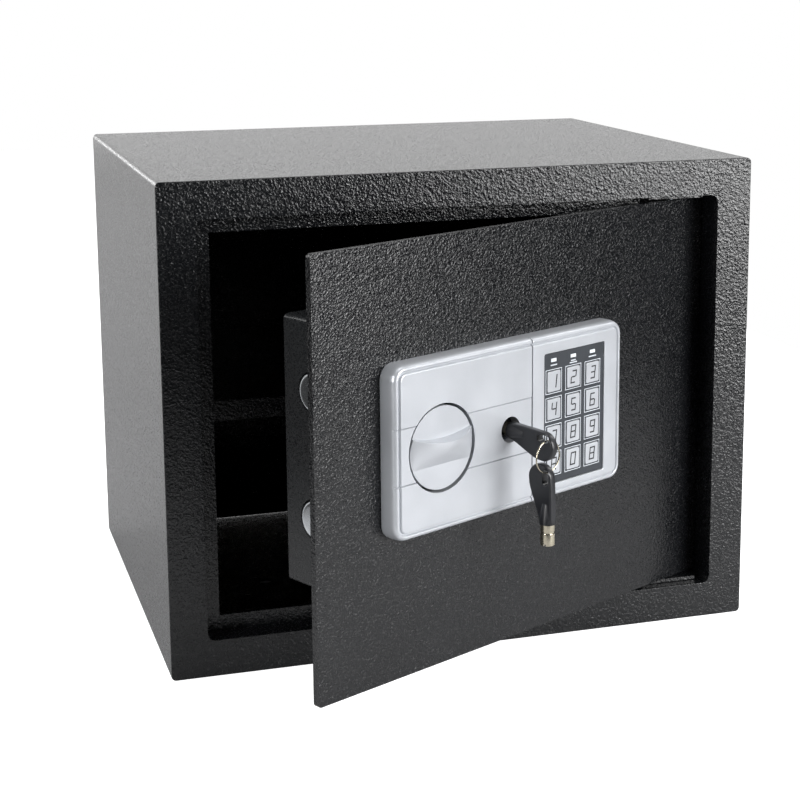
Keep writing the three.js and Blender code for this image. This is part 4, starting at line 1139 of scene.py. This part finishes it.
bm = bmesh.new()
section = bmesh.ops.create_circle(bm, cap_ends=False, radius=wire / 2, segments=12)["verts"]
bmesh.ops.translate(bm, vec=(ring_radius, -wire / 2, 0), verts=section)
bmesh.ops.spin(
    bm,
    geom=bm.verts[:] + bm.edges[:],
    cent=(0, 0, 0),
    axis=(0, 1, 0),
    dvec=(0, wire / (RING_TURNS * STEPS_PER_TURN), 0),
    angle=2 * pi * RING_TURNS * RING_SHARE,
    steps=RING_TURNS * STEPS_PER_TURN,
)
bmesh.ops.holes_fill(bm, edges=[edge for edge in bm.edges if edge.is_boundary])
bmesh.ops.translate(bm, vec=ring_middle, verts=bm.verts)
finish_piece(bm, "split_ring", nickel, "key_ring", ["key_ring"], opened, crease=60)

# --- Solenoid and circuit board -------------------------------------------------------------------
# A taped copper coil in its frame over the carriage, and a solder-masked board behind the keys. Both are
# closed in, and only seen with their covers off.

# Enamelled copper wire under clear tape. The turns show through as bands, drawn coarse enough to see.
winding, tree, shader = new_material("taped_copper_winding")
coords = node(tree, "TexCoord")
turns = node(
    tree,
    "TexWave",
    {"bands_direction": "Z", "Scale": 1000 / 6, "Distortion": 0.8},
    {"Vector": coords.outputs["Object"]},
)
tone = node(tree, "ValToRGB", links={"Fac": turns.outputs["Fac"]})
tone.color_ramp.elements[0].color = linear("#5d2f18")
tone.color_ramp.elements[1].color = linear("#a5653a")
bump = node(tree, "Bump", {"Strength": 0.5, "Distance": 0.1 * MM}, {"Height": turns.outputs["Fac"]})
tree.links.new(tone.outputs["Color"], shader.inputs["Base Color"])
tree.links.new(bump.outputs["Normal"], shader.inputs["Normal"])
shader.inputs["Metallic"].default_value = 0.6
shader.inputs["Roughness"].default_value = 0.4
coat_node("solenoid_coil", winding)

# Glass epoxy under green solder mask, lighter where the copper tracks lie under it.
board, tree, shader = new_material("solder_masked_glass_epoxy")
coords = node(tree, "TexCoord")
tracks = node(
    tree,
    "TexVoronoi",
    {"feature": "DISTANCE_TO_EDGE", "distance": "EUCLIDEAN", "Scale": 1000 / 5, "Randomness": 0.35},
    {"Vector": coords.outputs["Object"]},
)
tone = node(tree, "ValToRGB", links={"Fac": tracks.outputs["Distance"]})
tone.color_ramp.elements[0].position = 0.05
tone.color_ramp.elements[0].color = linear("#3c7a4c")
tone.color_ramp.elements[1].position = 0.09
tone.color_ramp.elements[1].color = linear("#1d5233")
tree.links.new(tone.outputs["Color"], shader.inputs["Base Color"])
shader.inputs["Roughness"].default_value = 0.3
coat_node("circuit_board", board)

# --- Battery compartment --------------------------------------------------------------------------
# A black ABS tray in the lock housing with four round cells in shrink sleeves, and a cover with a moulded
# thumb grip that slides towards the hinge. A red reset button stands beside it.

textured_abs = moulded("textured_black_abs", "#17181b", "#202226", 0.48, 0.9, 0.05)
RIB_COUNT = 5
RIB_PITCH = 2.4
RIB_START = 12
RIB_WIDTH, RIB_HALF_HEIGHT, RIB_THICKNESS, RIB_STANDS = 1.1, 9, 1.0, 0.8
TRAY_EDGE, LID_EDGE, RIB_EDGE, CELL_EDGE, BUTTON_EDGE = 0.4, 0.7, 0.35, 0.5, 0.8

bm = loose_copy("battery_tray", shut)
round_edges(bm, TRAY_EDGE)
finish_piece(bm, "battery_well", textured_abs, "door", ["battery_tray"], opened)

bm = loose_copy("battery_cover", shut)
low, high = shut_box("battery_cover")
round_edges(bm, LID_EDGE)
ribs = bmesh.new()
middle_z = (low.z + high.z) / 2
foot, head = middle_z - RIB_HALF_HEIGHT * MM, middle_z + RIB_HALF_HEIGHT * MM
for index in range(RIB_COUNT):
    x = low.x + (RIB_START + index * RIB_PITCH) * MM
    rib = strip(ribs, x, foot, x + RIB_WIDTH * MM, head, 0.0, RIB_THICKNESS * MM)
    bmesh.ops.translate(ribs, vec=(0, high.y + RIB_STANDS * MM, 0), verts=rib)
round_edges(ribs, RIB_EDGE, 2)
finish_piece(ribs, "battery_cover_ribs", textured_abs, "battery_cover", turn=opened)
finish_piece(bm, "battery_lid", textured_abs, "battery_cover", ["battery_cover"], opened)

# Printed PVC sleeve, shrunk on: dark along the cell, blue round one end, and bare metal at the very tip.
SLEEVE_BLUE_FROM, SLEEVE_TIP_FROM = 0.68, 0.965
sleeve, tree, shader = new_material("printed_shrink_sleeve")
coords = node(tree, "TexCoord")
along = node(
    tree,
    "Mapping",
    {"vector_type": "TEXTURE", "Location": tuple(opened.to_translation()), "Rotation": (0, 0, door_angle)},
    {"Vector": coords.outputs["Object"]},
)
split = node(tree, "SeparateXYZ", links={0: along.outputs["Vector"]})
cell_low, cell_high = shut_box("battery_cell_1")
reach = node(
    tree,
    "MapRange",
    {"From Min": cell_low.x, "From Max": cell_high.x},
    {"Value": split.outputs["X"]},
)
tone = node(tree, "ValToRGB", links={"Fac": reach.outputs[0]})
tone.color_ramp.interpolation = "CONSTANT"
tone.color_ramp.elements[0].color = linear("#2b2e36")
tone.color_ramp.elements[1].position = SLEEVE_BLUE_FROM
tone.color_ramp.elements[1].color = linear("#3a4d8f")
tip = tone.color_ramp.elements.new(SLEEVE_TIP_FROM)
tip.color = linear("#c9ccd0")
wrinkle = node(
    tree,
    "TexNoise",
    {"Scale": 1000 / 3.0, "Detail": 2.0},
    {"Vector": coords.outputs["Object"]},
)
bump = node(tree, "Bump", {"Strength": 0.2, "Distance": 0.05 * MM}, {"Height": wrinkle.outputs["Fac"]})
tree.links.new(tone.outputs["Color"], shader.inputs["Base Color"])
tree.links.new(bump.outputs["Normal"], shader.inputs["Normal"])
shader.inputs["Roughness"].default_value = 0.28

for index in range(1, 5):
    name = f"battery_cell_{index}"
    bm = loose_copy(name, shut)
    round_edges(bm, CELL_EDGE)
    finish_piece(bm, name + "_sleeved", sleeve, "door", [name], opened)

red_abs = moulded("gloss_red_abs", "#9c1a14", "#b3221a", 0.25, 1.5, 0.01)
bm = loose_copy("reset_button", shut)
round_edges(bm, BUTTON_EDGE, 4)
finish_piece(bm, "reset_cap", red_abs, "reset_button", ["reset_button"], opened)
